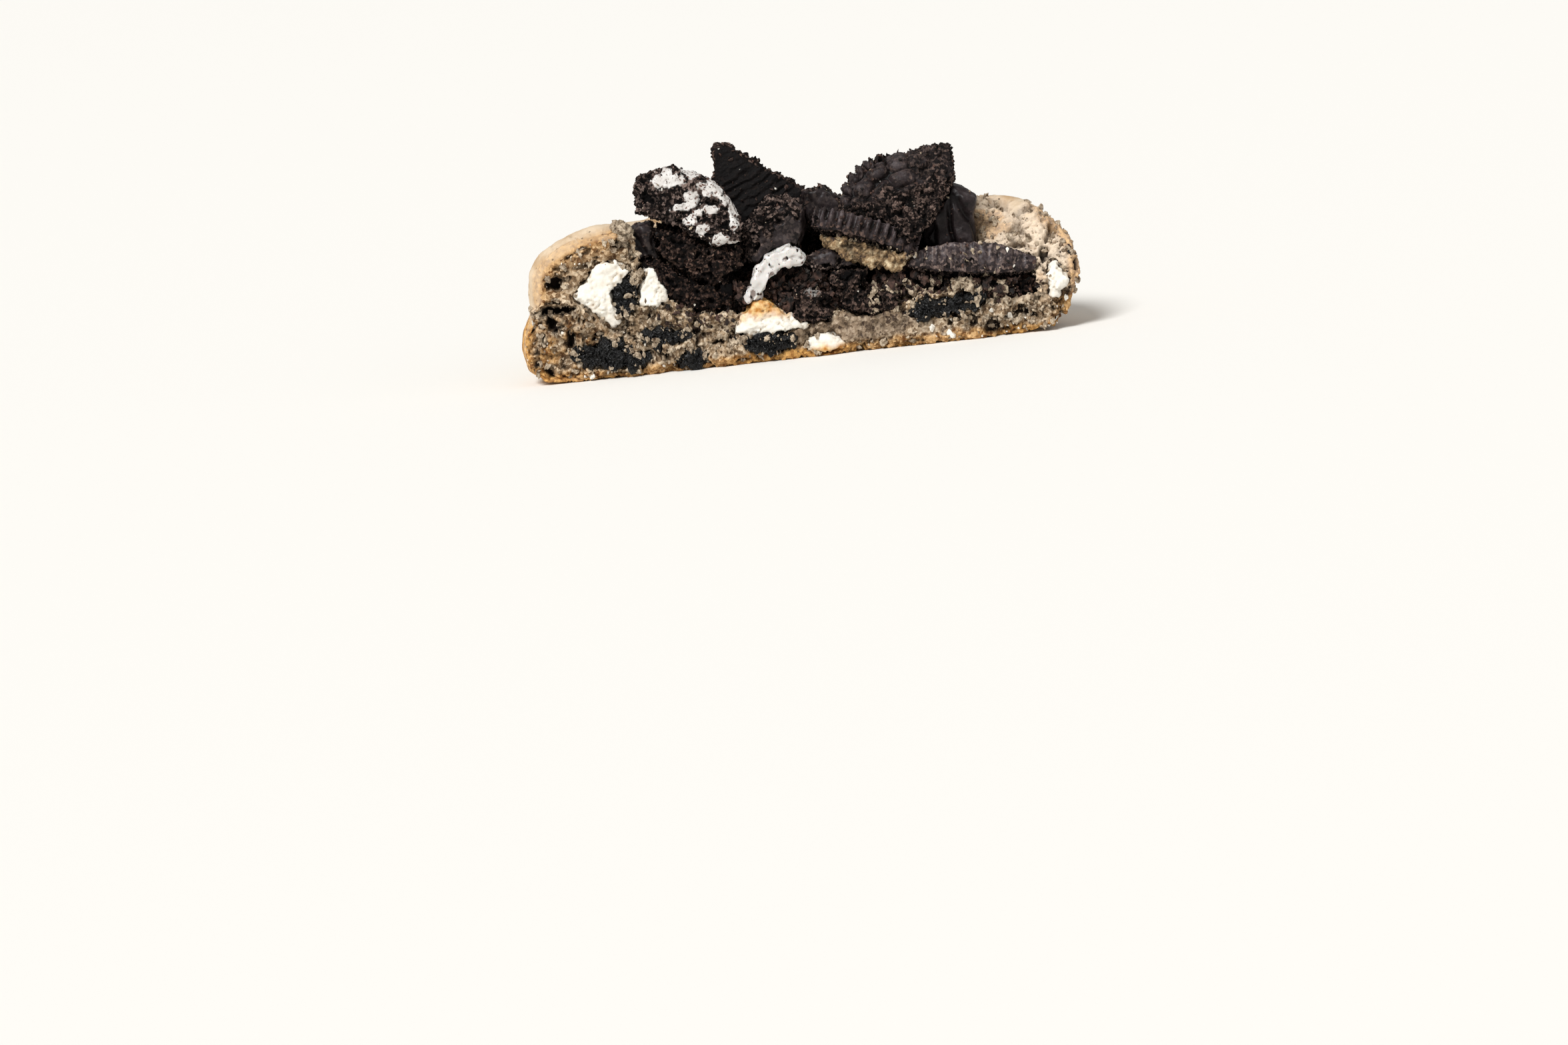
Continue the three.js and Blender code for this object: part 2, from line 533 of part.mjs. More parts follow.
// What lies on top, nearest the cut first: a piece gives way to those before it.
const ON_BED = [
  // The strand of white cream that runs over the crumbs at the cut.
  {
    name: "cream_strand",
    material: CREAM,
    shape: shard,
    front: 0.2,
    back: 3.2,
    rough: 0.25,
    outline: [
      [-7.9, 10.4], [-7.3, 12.6], [-5.9, 14.8], [-4.2, 17], [-2.2, 18.5], [0.4, 19], [2.7, 18.3], [3.5, 16.8],
      [2.3, 15.6], [-0.4, 15.7], [-2.7, 14.9], [-4.4, 13.2], [-5.5, 10.6], [-6.6, 9.8],
    ],
  },
  // A ridged edge with pale soaked crumb stuck beneath it.
  {
    name: "edge_piece_middle",
    material: BISCUIT,
    shape: edgePiece,
    half: 23,
    depth: 9,
    thick: 3.6,
    at: [13.7, -0.2, 20.6],
    turn: [-24, 22, 0],
    seed: 3,
  },
  {
    name: "soaked_crumb_middle",
    material: SOAKED_CRUMB,
    shape: shard,
    front: 0.5,
    back: 6.2,
    outline: [
      [5.9, 20], [7.4, 18.2], [9.3, 16.2], [12.2, 14.4], [15.4, 13.1], [18.6, 13.1], [20.7, 14.7], [19.6, 16.2],
      [16.4, 17.2], [12.4, 18.6], [8.6, 20],
    ],
  },
  // The long ridged edge at the right, with crumbs under it.
  {
    name: "edge_piece_right",
    material: BISCUIT,
    shape: edgePiece,
    half: 28,
    depth: 10,
    thick: 5.6,
    taper: 0.6,
    at: [30.8, -0.6, 13.8],
    turn: [-20, 8, 0],
    seed: 5,
  },
  {
    name: "crumb_lump_right",
    material: CRUMBS,
    shape: shard,
    front: 0.8,
    back: 8,
    outline: [
      [24, 12.1], [28.6, 11.6], [34.8, 10.2], [41.5, 8.8], [40.6, 6.6], [36.6, 6.3], [31, 7.6], [26.2, 9.4],
    ],
  },
  // The big piece with cream on it, and the two crumbly blocks below.
  {
    name: "cream_covered_piece",
    material: BISCUIT,
    shape: shard,
    front: 0.8,
    back: 5.8,
    tilt: 0.35,
    seed: 2,
    outline: [
      [-24.5, 30.6], [-23.6, 32.8], [-21.1, 33.6], [-18.3, 33.7], [-15.1, 32.9], [-11.9, 31.6], [-9.4, 28.8],
      [-8, 26.1], [-7.1, 22.8], [-7.8, 20.8], [-11.6, 20.8], [-14.6, 22.2], [-17.6, 24.3], [-21, 25.4],
      [-24.2, 27.3],
    ],
  },
  {
    name: "block_under_cream",
    material: BISCUIT,
    shape: shard,
    front: 0.2,
    back: 9.4,
    rough: 0.8,
    seed: 3,
    outline: [
      [-21.1, 24.3], [-17.4, 23], [-13.6, 20.3], [-10.4, 19.5], [-7.3, 19.3], [-7.9, 15.2], [-9.4, 12.4],
      [-12.4, 13.4], [-16.6, 15.8], [-21, 19],
    ],
  },
  {
    name: "block_left_low",
    material: BISCUIT,
    shape: shard,
    front: 0.2,
    back: 7.6,
    rough: 0.7,
    seed: 4,
    outline: [
      [-24.2, 19.4], [-21.6, 18.4], [-17, 15.4], [-12.6, 12.9], [-9.6, 11.7], [-10.3, 10], [-14.2, 9.6],
      [-18.4, 11.3], [-22.2, 14.4],
    ],
  },
  {
    name: "small_piece_left",
    material: BISCUIT,
    shape: shard,
    front: 2.4,
    back: 8.6,
    outline: [
      [-25.4, 24.3], [-24.3, 25.2], [-22.1, 25], [-20.9, 23.8], [-20.6, 19.4], [-22.4, 18.1], [-25.1, 18.8],
      [-25.8, 21.5],
    ],
  },
  {
    name: "round_piece_middle",
    material: BISCUIT,
    shape: shard,
    front: 2,
    back: 9.8,
    rough: 0.6,
    seed: 6,
    outline: [
      [-7.2, 19.8], [-6.6, 22.6], [-5.2, 24.6], [-2.4, 26.5], [1.2, 26.5], [3.5, 24.6], [3.7, 21], [2.2, 17.8],
      [-0.4, 15.5], [-4.4, 15.5], [-6.9, 17.1],
    ],
  },
  {
    name: "crumb_piece_slate",
    material: BISCUIT,
    shape: shard,
    front: 1.8,
    back: 7,
    outline: [[3.5, 16.2], [6.1, 17.3], [9.4, 17.3], [12.3, 16.2], [11.6, 14.3], [7.4, 13.8], [3.8, 14.5]],
  },
  {
    name: "crumb_piece_centre",
    material: BISCUIT,
    shape: shard,
    front: 0.9,
    back: 6.2,
    outline: [[7.2, 14], [11.8, 14.4], [13.6, 13.3], [12.8, 10.4], [8.2, 10.7], [6.2, 12.1]],
  },
  {
    name: "crumb_piece_low",
    material: BISCUIT,
    shape: shard,
    front: 0.6,
    back: 5.6,
    seed: 7,
    outline: [[0.2, 12], [4.6, 11.2], [6.9, 9.2], [6.2, 6.2], [3.1, 5.5], [0, 7.3]],
  },
  {
    name: "crumb_piece_right",
    material: BISCUIT,
    shape: shard,
    front: 0.8,
    back: 6,
    seed: 8,
    outline: [[7.6, 10.3], [12.7, 10.6], [18, 8.9], [17.4, 6.6], [12.6, 6.4], [8.4, 7.1]],
  },
  // The embossed piece that leans back on the right, its ridged edge up and to the left.
  {
    name: "embossed_piece",
    material: BISCUIT,
    shape: shard,
    front: 5,
    back: 12,
    tilt: 0.7,
    rough: 0.6,
    ridges: [0, 4],
    tooth: 0.9,
    seed: 9,
    outline: [
      [9.9, 25.2], [10.9, 27.4], [13.1, 29.6], [15.6, 31], [18.4, 31.6], [19.4, 30.6], [23.6, 31.4],
      [27.4, 32.2], [29.6, 31.8], [29.8, 29.8], [28.9, 26.4], [26.6, 22], [23.4, 18.6], [20.6, 17.1],
      [16.6, 19], [13, 20.8], [10.2, 22.9],
    ],
  },
  {
    name: "pointed_shard",
    material: BISCUIT,
    shape: shard,
    front: 10.8,
    back: 14.8,
    tilt: 0.25,
    ends: [0.94, 0.9],
    rough: 0.3,
    outline: [
      [-10.2, 35.6], [-9, 36.2], [-7.4, 35.4], [-4.9, 33.4], [-1.9, 31.2], [1.3, 29.2], [4.6, 26.8],
      [4.2, 21.8], [-1, 19.5], [-8.2, 18.7], [-8.8, 24.7], [-10.5, 28.6], [-10.7, 32.1],
    ],
  },
  {
    name: "small_piece_middle",
    material: BISCUIT,
    shape: shard,
    front: 6.8,
    back: 13,
    rough: 0.35,
    outline: [[3.8, 27.2], [7.2, 27.2], [10.4, 24.6], [9.8, 21.6], [5.2, 20.2], [3.4, 23.2]],
  },
  {
    name: "curled_piece_right",
    material: BISCUIT,
    shape: shard,
    front: 5.4,
    back: 12.6,
    rough: 0.4,
    seed: 12,
    outline: [
      [24.9, 21.6], [26.4, 24], [28.2, 25], [30.2, 24.5], [32.2, 23.1], [31.7, 19.3], [31.6, 15.1],
      [28.9, 13.3], [25, 13.3], [23.4, 17.1],
    ],
  },
  // Further back, where the heap goes on in the same way.
  {
    name: "edge_piece_back_left",
    material: BISCUIT,
    shape: edgePiece,
    half: 24,
    depth: 12,
    at: [-17.6, 17.4, 23.4],
    turn: [-32, 8, 225],
    seed: 8,
  },
  {
    name: "edge_piece_back_right",
    material: BISCUIT,
    shape: edgePiece,
    half: 22,
    depth: 12,
    at: [18.4, 20.6, 22],
    turn: [-26, -6, 137],
    seed: 9,
  },
  {
    name: "edge_piece_back_middle",
    material: BISCUIT,
    shape: edgePiece,
    half: 26,
    depth: 12,
    at: [1.5, 28.6, 21.8],
    turn: [-22, 7, 176],
    seed: 10,
  },
  {
    name: "block_top_middle",
    material: BISCUIT,
    shape: block,
    size: [5.8, 5, 4.4],
    at: [8.4, 17.6, 21],
    turn: [0, 14, 60],
    seed: 43,
  },
  {
    name: "block_back_left",
    material: BISCUIT,
    shape: block,
    size: [6, 5.2, 4.6],
    at: [-11.6, 24.2, 17.6],
    turn: [12, 20, 30],
    seed: 41,
  },
  {
    name: "block_back_middle",
    material: BISCUIT,
    shape: block,
    size: [5.6, 5, 4.4],
    at: [-2.6, 20.4, 20],
    turn: [18, 0, 12],
    seed: 44,
  },
  {
    name: "block_right_inner",
    material: BISCUIT,
    shape: block,
    size: [5, 5, 4],
    at: [20.4, 14, 16.4],
    turn: [0, 22, 40],
    seed: 45,
  },
  {
    name: "block_left_inner",
    material: BISCUIT,
    shape: block,
    size: [5.6, 4.8, 5],
    at: [-15.6, 11.4, 21.4],
    turn: [14, 8, 10],
    seed: 46,
  },
].map((piece) => ({ ...piece, make: (grow) => piece.shape(piece, grow) }));

// ---------------------------------------------------------------- assembly

const cookie = new THREE.Group();

function add(name, solid, material) {
  const mesh = new THREE.Mesh(geometryOf(solid), material);
  mesh.name = name;
  cookie.add(mesh);
}

let dough = solidOf(doughGeometry());
let bed = solidOf(bedGeometry()).subtract(solidOf(doughGeometry(GAP)));
const taken = [];
for (const piece of [...IN_DOUGH, ...ON_BED]) {
  let solid = solidOf(piece.make(0));
  for (const room of taken) if (meet(solid, room)) solid = solid.subtract(room);
  const room = solidOf(piece.make(GAP));
  taken.push(room);
  dough = dough.subtract(room);
  bed = bed.subtract(room);
  add(piece.name, largest(solid), piece.material);
}
add("dough_half", largest(dough), DOUGH);
add("crumb_bed", largest(bed), CRUMBS);

// The origin goes to the middle of the bounding box's base.
const box = new THREE.Box3().setFromObject(cookie);
const middle = box.getCenter(new THREE.Vector3());
cookie.position.set(-middle.x, -middle.y, -box.min.z);

export default cookie;
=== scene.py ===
# Half of a thick cookies and cream cookie, cut face to the front. Metres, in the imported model's frame:
# X runs along the cut, +Y from the cut face to the round back, +Z up from the middle of the base.

import math
import random

import bmesh
import bpy
from mathutils import Euler, Matrix, Vector, kdtree, noise


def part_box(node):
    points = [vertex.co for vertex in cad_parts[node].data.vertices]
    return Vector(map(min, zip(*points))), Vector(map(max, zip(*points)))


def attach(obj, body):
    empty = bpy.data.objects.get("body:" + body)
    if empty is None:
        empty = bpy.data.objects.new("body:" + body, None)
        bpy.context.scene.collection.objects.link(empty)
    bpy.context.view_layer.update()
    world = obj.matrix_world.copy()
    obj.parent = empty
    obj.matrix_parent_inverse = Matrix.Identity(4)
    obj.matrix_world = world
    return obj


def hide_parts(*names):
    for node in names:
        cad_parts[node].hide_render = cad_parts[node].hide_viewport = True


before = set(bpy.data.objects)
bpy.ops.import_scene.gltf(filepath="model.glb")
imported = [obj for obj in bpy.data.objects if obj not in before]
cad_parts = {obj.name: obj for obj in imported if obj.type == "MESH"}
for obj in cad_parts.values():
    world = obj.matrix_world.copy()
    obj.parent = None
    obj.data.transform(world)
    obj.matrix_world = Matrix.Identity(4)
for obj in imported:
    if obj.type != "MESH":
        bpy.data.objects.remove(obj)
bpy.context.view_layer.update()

# ------------------------------------------------------------------------------------ dough
# The body of the cookie is a thick vanilla dough with ground biscuit in it, baked on a tray. Its skin is
# smooth and pale with a browned base, and where the half was pulled off the crumb is open and ragged.

MM = 0.001
CUT = -22.2  # where the cut lies, in millimetres along Y
MIDDLE = -1.3  # the middle of the whole cookie along X
noise.seed_set(1)  # the offsets of noise_vector would otherwise change from run to run


def fade(low, high, value):
    """0 at `low`, 1 at `high`, with a soft change between them."""
    share = min(1, max(0, (value - low) / (high - low)))
    return share * share * (3 - 2 * share)


def oval(at, x, z, wide, tall):
    """How far a place lies from (x, z) seen from the front: 1 on an oval of that half width and height."""
    return math.hypot((at.x - x) / wide, (at.z - z) / tall)


def grain(at, size):
    """How far broken crumb stands out at a place, from 0 in the cracks between its grains to 1 on the
    highest of them. The grains are about `size` millimetres wide."""
    bent = at / size + 0.35 * noise.noise_vector(at * (1.3 / size))
    (near, second, *_), (middle, *_) = noise.voronoi(bent)
    own = 0.5 + 0.5 * noise.cell(middle * 7.3)
    return fade(0, 0.35, second - near) * (0.4 + 0.6 * own)


def clump(at, size):
    """Rounded clumps about `size` millimetres wide, from 0 in the sharp creases between them to about 1."""
    return 1.5 * noise.turbulence(at / size, 3, True)


def even(name, node, size, soften):
    """A new object with the shape of a node's solid, as a closed mesh of even faces `size` mm wide, whose
    corners are softened `soften` times."""
    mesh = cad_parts[node].data.copy()
    mesh.materials.clear()
    whole = bmesh.new()
    whole.from_mesh(mesh)
    bmesh.ops.remove_doubles(whole, verts=whole.verts, dist=0.01 * MM)
    whole.to_mesh(mesh)
    whole.free()
    piece = bpy.data.objects.new(name, mesh)
    bpy.context.collection.objects.link(piece)
    remesh = piece.modifiers.new("even", "REMESH")
    remesh.mode, remesh.voxel_size = "VOXEL", size * MM
    soft = piece.modifiers.new("soft", "SMOOTH")
    soft.factor, soft.iterations = 0.5, soften
    made = bpy.data.meshes.new_from_object(piece.evaluated_get(bpy.context.evaluated_depsgraph_get()))
    piece.modifiers.clear()
    piece.data = made
    made.name = name
    return piece


def finer(piece, wanted):
    """Halves the faces of a piece where wanted(place in mm, outward) holds."""
    mesh = bmesh.new()
    mesh.from_mesh(piece.data)
    chosen = {corner for corner in mesh.verts if wanted(corner.co / MM, corner.normal)}
    edges = [edge for edge in mesh.edges if edge.verts[0] in chosen and edge.verts[1] in chosen]
    bmesh.ops.subdivide_edges(mesh, edges=edges, cuts=1, use_grid_fill=True)
    bmesh.ops.triangulate(mesh, faces=[face for face in mesh.faces if len(face.verts) > 4])
    mesh.to_mesh(piece.data)
    mesh.free()


def work(piece, rule):
    """Gives a piece its relief. rule(place in mm, outward) answers with a rise in mm and four shares,
    which the piece's material reads back as the attribute `look`. Nothing sinks below the floor."""
    mesh = bmesh.new()
    mesh.from_mesh(piece.data)
    look = mesh.verts.layers.float_color.new("look")
    made = [rule(corner.co / MM, corner.normal) for corner in mesh.verts]
    for corner, (rise, shares) in zip(mesh.verts, made):
        corner.co += corner.normal * (rise * MM)
        corner.co.z = max(corner.co.z, 0)
        corner[look] = shares
    for face in mesh.faces:
        face.smooth = True
    mesh.to_mesh(piece.data)
    mesh.free()


def srgb(code):
    """A colour from a paint chart's #rrggbb, turned to linear light."""
    shares = [int(code[n : n + 2], 16) / 255 for n in (1, 3, 5)]
    return [*(c / 12.92 if c < 0.04045 else ((c + 0.055) / 1.055) ** 2.4 for c in shares), 1]


def wire(tree, node, sockets):
    """Gives each named socket of a node its value, or a link from another node's output."""
    for name, value in sockets.items():
        if isinstance(value, bpy.types.NodeSocket):
            tree.links.new(value, node.inputs[name])
        else:
            node.inputs[name].default_value = value


def put(tree, kind, sockets={}, **settings):
    """Adds a shader node with its settings, values and links."""
    node = tree.nodes.new("ShaderNode" + kind)
    for name, value in settings.items():
        setattr(node, name, value)
    wire(tree, node, sockets)
    return node


def start(name):
    """A new material's tree with its object coordinates, its `look` and its shader."""
    material = bpy.data.materials.new(name)
    material.use_nodes = True
    tree = material.node_tree
    tree.nodes.clear()
    place = put(tree, "TexCoord").outputs["Object"]
    look = put(tree, "Attribute", attribute_name="look")
    shares = put(tree, "SeparateColor", {"Color": look.outputs["Color"]})
    shader = put(tree, "BsdfPrincipled")
    put(tree, "OutputMaterial", {"Surface": shader.outputs["BSDF"]})
    return material, tree, place, (*shares.outputs, look.outputs["Alpha"]), shader


def finish(piece, material, slot, *nodes):
    """Dresses a piece and hands it to the frame, in place of the nodes whose shape it has."""
    piece.data.materials.append(material)
    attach(piece, "root")
    if nodes:
        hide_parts(*nodes)


# Holes torn in the cut face as [x, z, half width, half height, depth] in millimetres, the long ones
# between the lobes.
HOLES = [
    [-40.2, 16.6, 1.6, 1.1, 2.0], [-40.4, 12.4, 3.0, 0.8, 2.8], [-41.5, 10.4, 0.9, 1.7, 2.4],
    [-42.9, 7.4, 0.6, 1.4, 1.4], [-25.7, 17.9, 0.9, 0.6, 1.4], [-38.6, 7.0, 0.8, 1.9, 1.9],
    [-28.4, 22.0, 1.7, 0.6, 1.7], [-44.6, 3.8, 0.9, 0.8, 1.2], [-35.2, 19.0, 1.6, 0.3, 0.6],
    [-38.2, 18.6, 0.8, 0.4, 0.6], [-33.6, 18.0, 1.3, 0.3, 0.6], [31.4, 21.7, 1.7, 0.6, 0.8],
    [34.8, 20.9, 2.0, 0.6, 1.0], [38.2, 19.4, 1.8, 0.5, 0.9], [-17.5, 9.6, 1.5, 0.5, 1.2],
    [-33.8, 7.8, 1.1, 0.5, 1.2], [22.8, 9.6, 2.5, 0.6, 1.4], [38.4, 8.2, 1.4, 0.8, 1.5],
    [41.4, 12.6, 0.8, 1.2, 1.3], [44.4, 6.2, 0.7, 1.0, 1.3], [34.6, 3.4, 1.2, 0.6, 1.3],
    [37.6, 14.6, 1.6, 0.5, 1.1],
]


def behind_cut(at):
    """Millimetres that a place lies behind the torn face, which slopes back at the right end."""
    return at.y - CUT - 0.62 * fade(22.7, 34.7, at.x) * max(0, at.z - 8)


def on_face(at):
    """The torn face, which goes round the right end, where the skin came off."""
    reach = 2.3 + 6 * fade(36, 43, at.x)
    return 1 - fade(reach, reach + 1.2, behind_cut(at))


def in_crater(at):
    """The torn wall of the crater, which lies open furthest at the right and least at the left."""
    out = math.hypot(at.x - MIDDLE, at.y - CUT) + 2.4 * noise.noise(at / 6)
    turn = math.atan2(abs(at.y - CUT), at.x - MIDDLE) / math.pi
    edge = 39 - 5 * fade(0.08, 0.4, turn) - 6.5 * fade(0.55, 0.9, turn)
    return 1 - fade(edge - 2, edge + 2, out)


dough = even("dough_crumb_and_skin", "dough_half", 0.54, 10)


def shows_crumb(at, outward):
    """Where open crumb can be seen: on the cut, round the right end and on the wall of the crater."""
    face = behind_cut(at) < 3.4 and outward.y < 0.25
    right_end = at.x > 40 and on_face(at) > 0.5
    wall = in_crater(at) > 0.2 and at.z > 9 and math.hypot(at.x - MIDDLE, at.y - CUT) > 27
    return face or right_end or (wall and abs(at.x) > 22 and outward.z > 0)


finer(dough, shows_crumb)

# The pockets that the chunks and the sunk biscuits sit in.
POCKETS = [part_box(node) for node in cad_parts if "white" in node or node.startswith("dark_piece")]


def in_pocket(at):
    """Whether a place lies in a pocket or close to one, seen from the front."""
    near = 0.9  # mm
    return any(
        low[0] / MM - near < at.x < high[0] / MM + near and low[2] / MM - near < at.z < high[2] / MM + near
        for low, high in POCKETS
    )


# The outline of the cut face: the skin just behind the tear, without the pockets.
skin = [corner.co / MM for corner in dough.data.vertices]
skin = [at for at in skin if 3.6 < behind_cut(at) < 7 and not in_crater(at) and not in_pocket(at)]
outline = kdtree.KDTree(len(skin))
for number, place in enumerate(skin):
    outline.insert((place.x, 0, place.z), number)
outline.balance()
WELL_INSIDE = 9  # mm from the outline, where the distance no longer matters


def moistness(at):
    """The underbaked streak in the middle of the base, which tore smooth."""
    return 1 - fade(0.6, 1.15, oval(at, 9.5, 4.4, 12.5, 3.1) + 0.35 * noise.noise(at / 2.4))


def dough_relief(at, outward):
    """The dough's rise, how torn, toasted and moist it is, and its painted shade."""
    right_end = fade(37, 42, at.x)
    face = on_face(at) * fade(-0.25, 0.25, -outward.y - 0.2 * outward.z + 0.2 + 0.5 * right_end)
    torn = max(face, in_crater(at) * fade(1.5, 3, at.z))
    roll = (1 - fade(0, 6.5, behind_cut(at))) ** 2
    depth = outline.find((at.x, 0, at.z))[2] if roll > 0 or face > 0 else WELL_INSIDE
    moist = face * moistness(at)
    # A smooth tan patch at the upper right, where the dough parted from the heap.
    off = oval(at, 32.6, 18.2, 3.8, 2.4) + 0.5 * noise.noise(at / 2)
    flaky = fade(20, 26, at.x) * (1 - fade(9, 13, behind_cut(at))) * (1 - fade(0.7, 1.1, off))
    upper = fade(-24, -31, at.x) * fade(12.3, 14.6, at.z)
    lower = fade(-35, -40, at.x) * (1 - fade(10, 12.5, at.z))
    # At the lobes the skin is drawn over the edge of the tear, in a band that narrows to nothing.
    band = 2.3 * upper + 0.6 * lower
    inner = depth - band + 0.45 * noise.noise(at / 1.3)
    if face > 0 and band > 0.1:
        torn *= fade(-0.35, 0.35, inner)
    # The upper lobe tore fine and in thin layers, so its gaps are long and low.
    coarse = (0.75 + 0.5 * noise.noise(at / 6)) * (1 - 0.68 * upper) * (1 - 0.5 * moist) * (1 - 0.6 * flaky)
    at_left = 0.5 * fade(-22, -32, at.x) * (1 - fade(11, 14, at.z))
    at_right = 0.35 * fade(33, 38, at.x) * fade(6, 10, at.z)
    coarse *= 1 + at_left + at_right
    layered = Vector((at.x + 0.8 * at.z, at.y, 2.4 * at.z - 0.5 * at.x)) if upper > 0.5 else at
    gap = fade(0.2, 0.46, noise.fractal(layered / 2.6, 1, 2.1, 3)) * (1 - 0.7 * moist)
    gap = gap * (1 - 0.3 * upper) * (1 - flaky)
    for x, z, wide, tall, deep in HOLES:
        off = oval(at, x, z, wide, tall) + 0.6 * noise.noise(at / 0.9)
        if off < 1.3 and torn > 0 and behind_cut(at) < 9:
            gap = max(gap, deep * (1 - fade(0.6, 1.2, off)))
    big, small = grain(at, 1.5), grain(at, 0.72)
    rubble = coarse * (1.1 * (clump(at, 3.4) - 0.56) + 0.55 * (big - 0.45))
    rubble += (0.12 + 0.26 * coarse) * (small - 0.45)
    rolled = 2.2 * roll * min(1, band) * (1 - fade(0, 3, depth)) ** 2
    crumbly = (rubble - 1.35 * gap) * (1 - 0.5 * right_end * fade(0.2, 0.8, outward.x))
    crumbly = crumbly + 0.3 * moist - rolled
    # The skin is drawn tight over small swellings and has fine cracks in it.
    crack = 1 - fade(0.0, 0.05, abs(noise.noise(at / 4.2 + 0.15 * noise.noise_vector(at / 1.1))))
    crack *= fade(0.1, 0.45, noise.noise(at / 8))
    baked = 0.2 * noise.noise(at / 3) + 0.1 * noise.noise(at / 0.9) - 0.22 * crack
    baked -= rolled
    under = fade(0.6, 0.9, -outward.z) * (1 - fade(0.4, 1.5, at.z))
    baked = baked * (1 - under) + under * (0.12 * noise.noise(at / 1.3) - 0.02)
    rise = torn * crumbly + (1 - torn) * baked
    if at.z < 0.8:
        rise = min(rise, 0.05)
    # Painted shade: the crumb's gaps, holes and low places are darkened towards near black brown. The skin's
    # fine cracks get half as much, which is partly their own brown and partly painted shade. There is less at
    # the tan patch.
    painted_shade = torn * min(1, max(0, 0.9 * gap + 1.1 * max(0, -0.08 - rubble))) + (1 - torn) * 0.5 * crack
    painted_shade *= 1 - 0.7 * max(flaky, 0.6 * fade(28, 34, at.x) * fade(12, 15, at.z))
    # Baking browned the skin most round the foot, and the crumb just under the skin.
    wave = noise.noise(at / 1.6)
    foot = 0.7 * (1 - fade(0.5, 6.5, at.z + 2 * noise.noise(at / 4)))
    left_foot = fade(-37, -43, at.x) * (1 - fade(5, 12, behind_cut(at)))
    left_foot *= 1 - fade(9, 13, at.z + 1.5 * wave)
    foot = max(foot, left_foot)
    warm = 0.7 + 0.3 * max(1 - fade(8, 13, abs(at.x + 2)), fade(32, 36, at.x), fade(-38, -44, at.x))
    crust = warm * (1 - fade(1.1, 2.2, at.z + 0.7 * wave))
    warm_crumb = 0.75 * face * fade(-28, -42, at.x) * (1 - fade(8, 13, at.z))
    warm_crumb *= fade(-0.3, 0.3, noise.noise(at / 2))
    # Heat went a little way into the upper lobe, which is golden under its skin and greyer further in.
    glow = 0.42 * face * upper * (1 - fade(0, 5.5, inner))
    lip = 0.6 * fade(22, 28, at.x) * fade(20.5, 23.5, at.z) * fade(-0.05, 0.35, noise.noise(at / 2.6))
    crust = max(crust, 0.75 * fade(41, 44, at.x) * (1 - fade(5, 8, at.z + wave)))
    rind = max(0.6 * upper, 0.95 * lower, 0.65 * fade(38, 43, at.x))
    rind *= 1 - fade(0.3, 2.0, inner + 0.5 * wave)
    rind *= 1 if inner > -0.4 else 0.25 + 0.75 * lower
    browned_skin = (1 - torn) * (1 - face) * foot
    toast = max(under, face * crust, face * rind, browned_skin, 0.5 * flaky, lip, warm_crumb, glow)
    return rise, (torn, min(1, painted_shade), toast, moist)


work(dough, dough_relief)

# Soft dough crumb with a thin baked skin: dull all over, pale on the crowns of its grains and painted dark
# brown with shade between them, paler at the right end, with a damp gleam only where it is underbaked in the
# middle.
baked_dough, tree, place, (torn, painted_shade, toast, moist), shader = start("baked vanilla dough")
cloud = put(tree, "TexNoise", {"Vector": place, "Scale": 1 / (1.1 * MM), "Detail": 6, "Roughness": 0.68})
cells = put(tree, "TexVoronoi", {"Vector": place, "Scale": 1 / (0.5 * MM)})
own = put(tree, "SeparateColor", {"Color": cells.outputs["Color"]})
uneven = put(tree, "Mix", {0: 0.3, 2: cloud.outputs["Fac"], 3: own.outputs[0]})
crumb_tone = put(tree, "ValToRGB", {"Fac": uneven.outputs[0]})
for stop, code, at in ((0, "#46321f", 0.33), (1, "#e2d0b6", 0.69)):
    crumb_tone.color_ramp.elements[stop].color = srgb(code)
    crumb_tone.color_ramp.elements[stop].position = at
crumb_tone.color_ramp.elements.new(0.5).color = srgb("#a0876a")
along = put(tree, "SeparateXYZ", {"Vector": place})
right_end = put(tree, "MapRange", {0: along.outputs["X"], 1: 26 * MM, 2: 36 * MM, 4: 0.95})
high_up = put(tree, "MapRange", {0: along.outputs["Z"], 1: 5 * MM, 2: 10 * MM})
dry = put(tree, "Math", {0: right_end.outputs[0], 1: high_up.outputs[0]}, operation="MULTIPLY")
paler = put(tree, "Mix", {0: dry.outputs[0], 6: crumb_tone.outputs[0], 7: srgb("#eedac2")}, data_type="RGBA")
patch = put(tree, "TexNoise", {"Vector": place, "Scale": 1 / (6 * MM), "Detail": 5, "Roughness": 0.6})
skin_tone = put(tree, "ValToRGB", {"Fac": patch.outputs["Fac"]})
for stop, code, at in ((0, "#b6946c", 0.3), (1, "#dac5a9", 0.56)):
    skin_tone.color_ramp.elements[stop].color = srgb(code)
    skin_tone.color_ramp.elements[stop].position = at
body = put(tree, "Mix", {0: torn, 6: skin_tone.outputs[0], 7: paler.outputs[2]}, data_type="RGBA")
soaked_tone = put(tree, "ValToRGB", {"Fac": uneven.outputs[0]})
for stop, code, at in ((0, "#3f2e20", 0.34), (1, "#b5a18a", 0.7)):
    soaked_tone.color_ramp.elements[stop].color = srgb(code)
    soaked_tone.color_ramp.elements[stop].position = at
soaked_tone.color_ramp.elements.new(0.5).color = srgb("#8b765f")
damp = put(tree, "Mix", {0: moist, 6: body.outputs[2], 7: soaked_tone.outputs[0]}, data_type="RGBA")
golden = put(tree, "ValToRGB", {"Fac": uneven.outputs[0]})
for stop, code, at in ((0, "#7a4716", 0.32), (1, "#e3b068", 0.68)):
    golden.color_ramp.elements[stop].color = srgb(code)
    golden.color_ramp.elements[stop].position = at
browned = put(tree, "Mix", {0: toast, 6: damp.outputs[2], 7: golden.outputs[0]}, data_type="RGBA")
speck = put(tree, "TexVoronoi", {"Vector": place, "Scale": 1 / (1.7 * MM)})
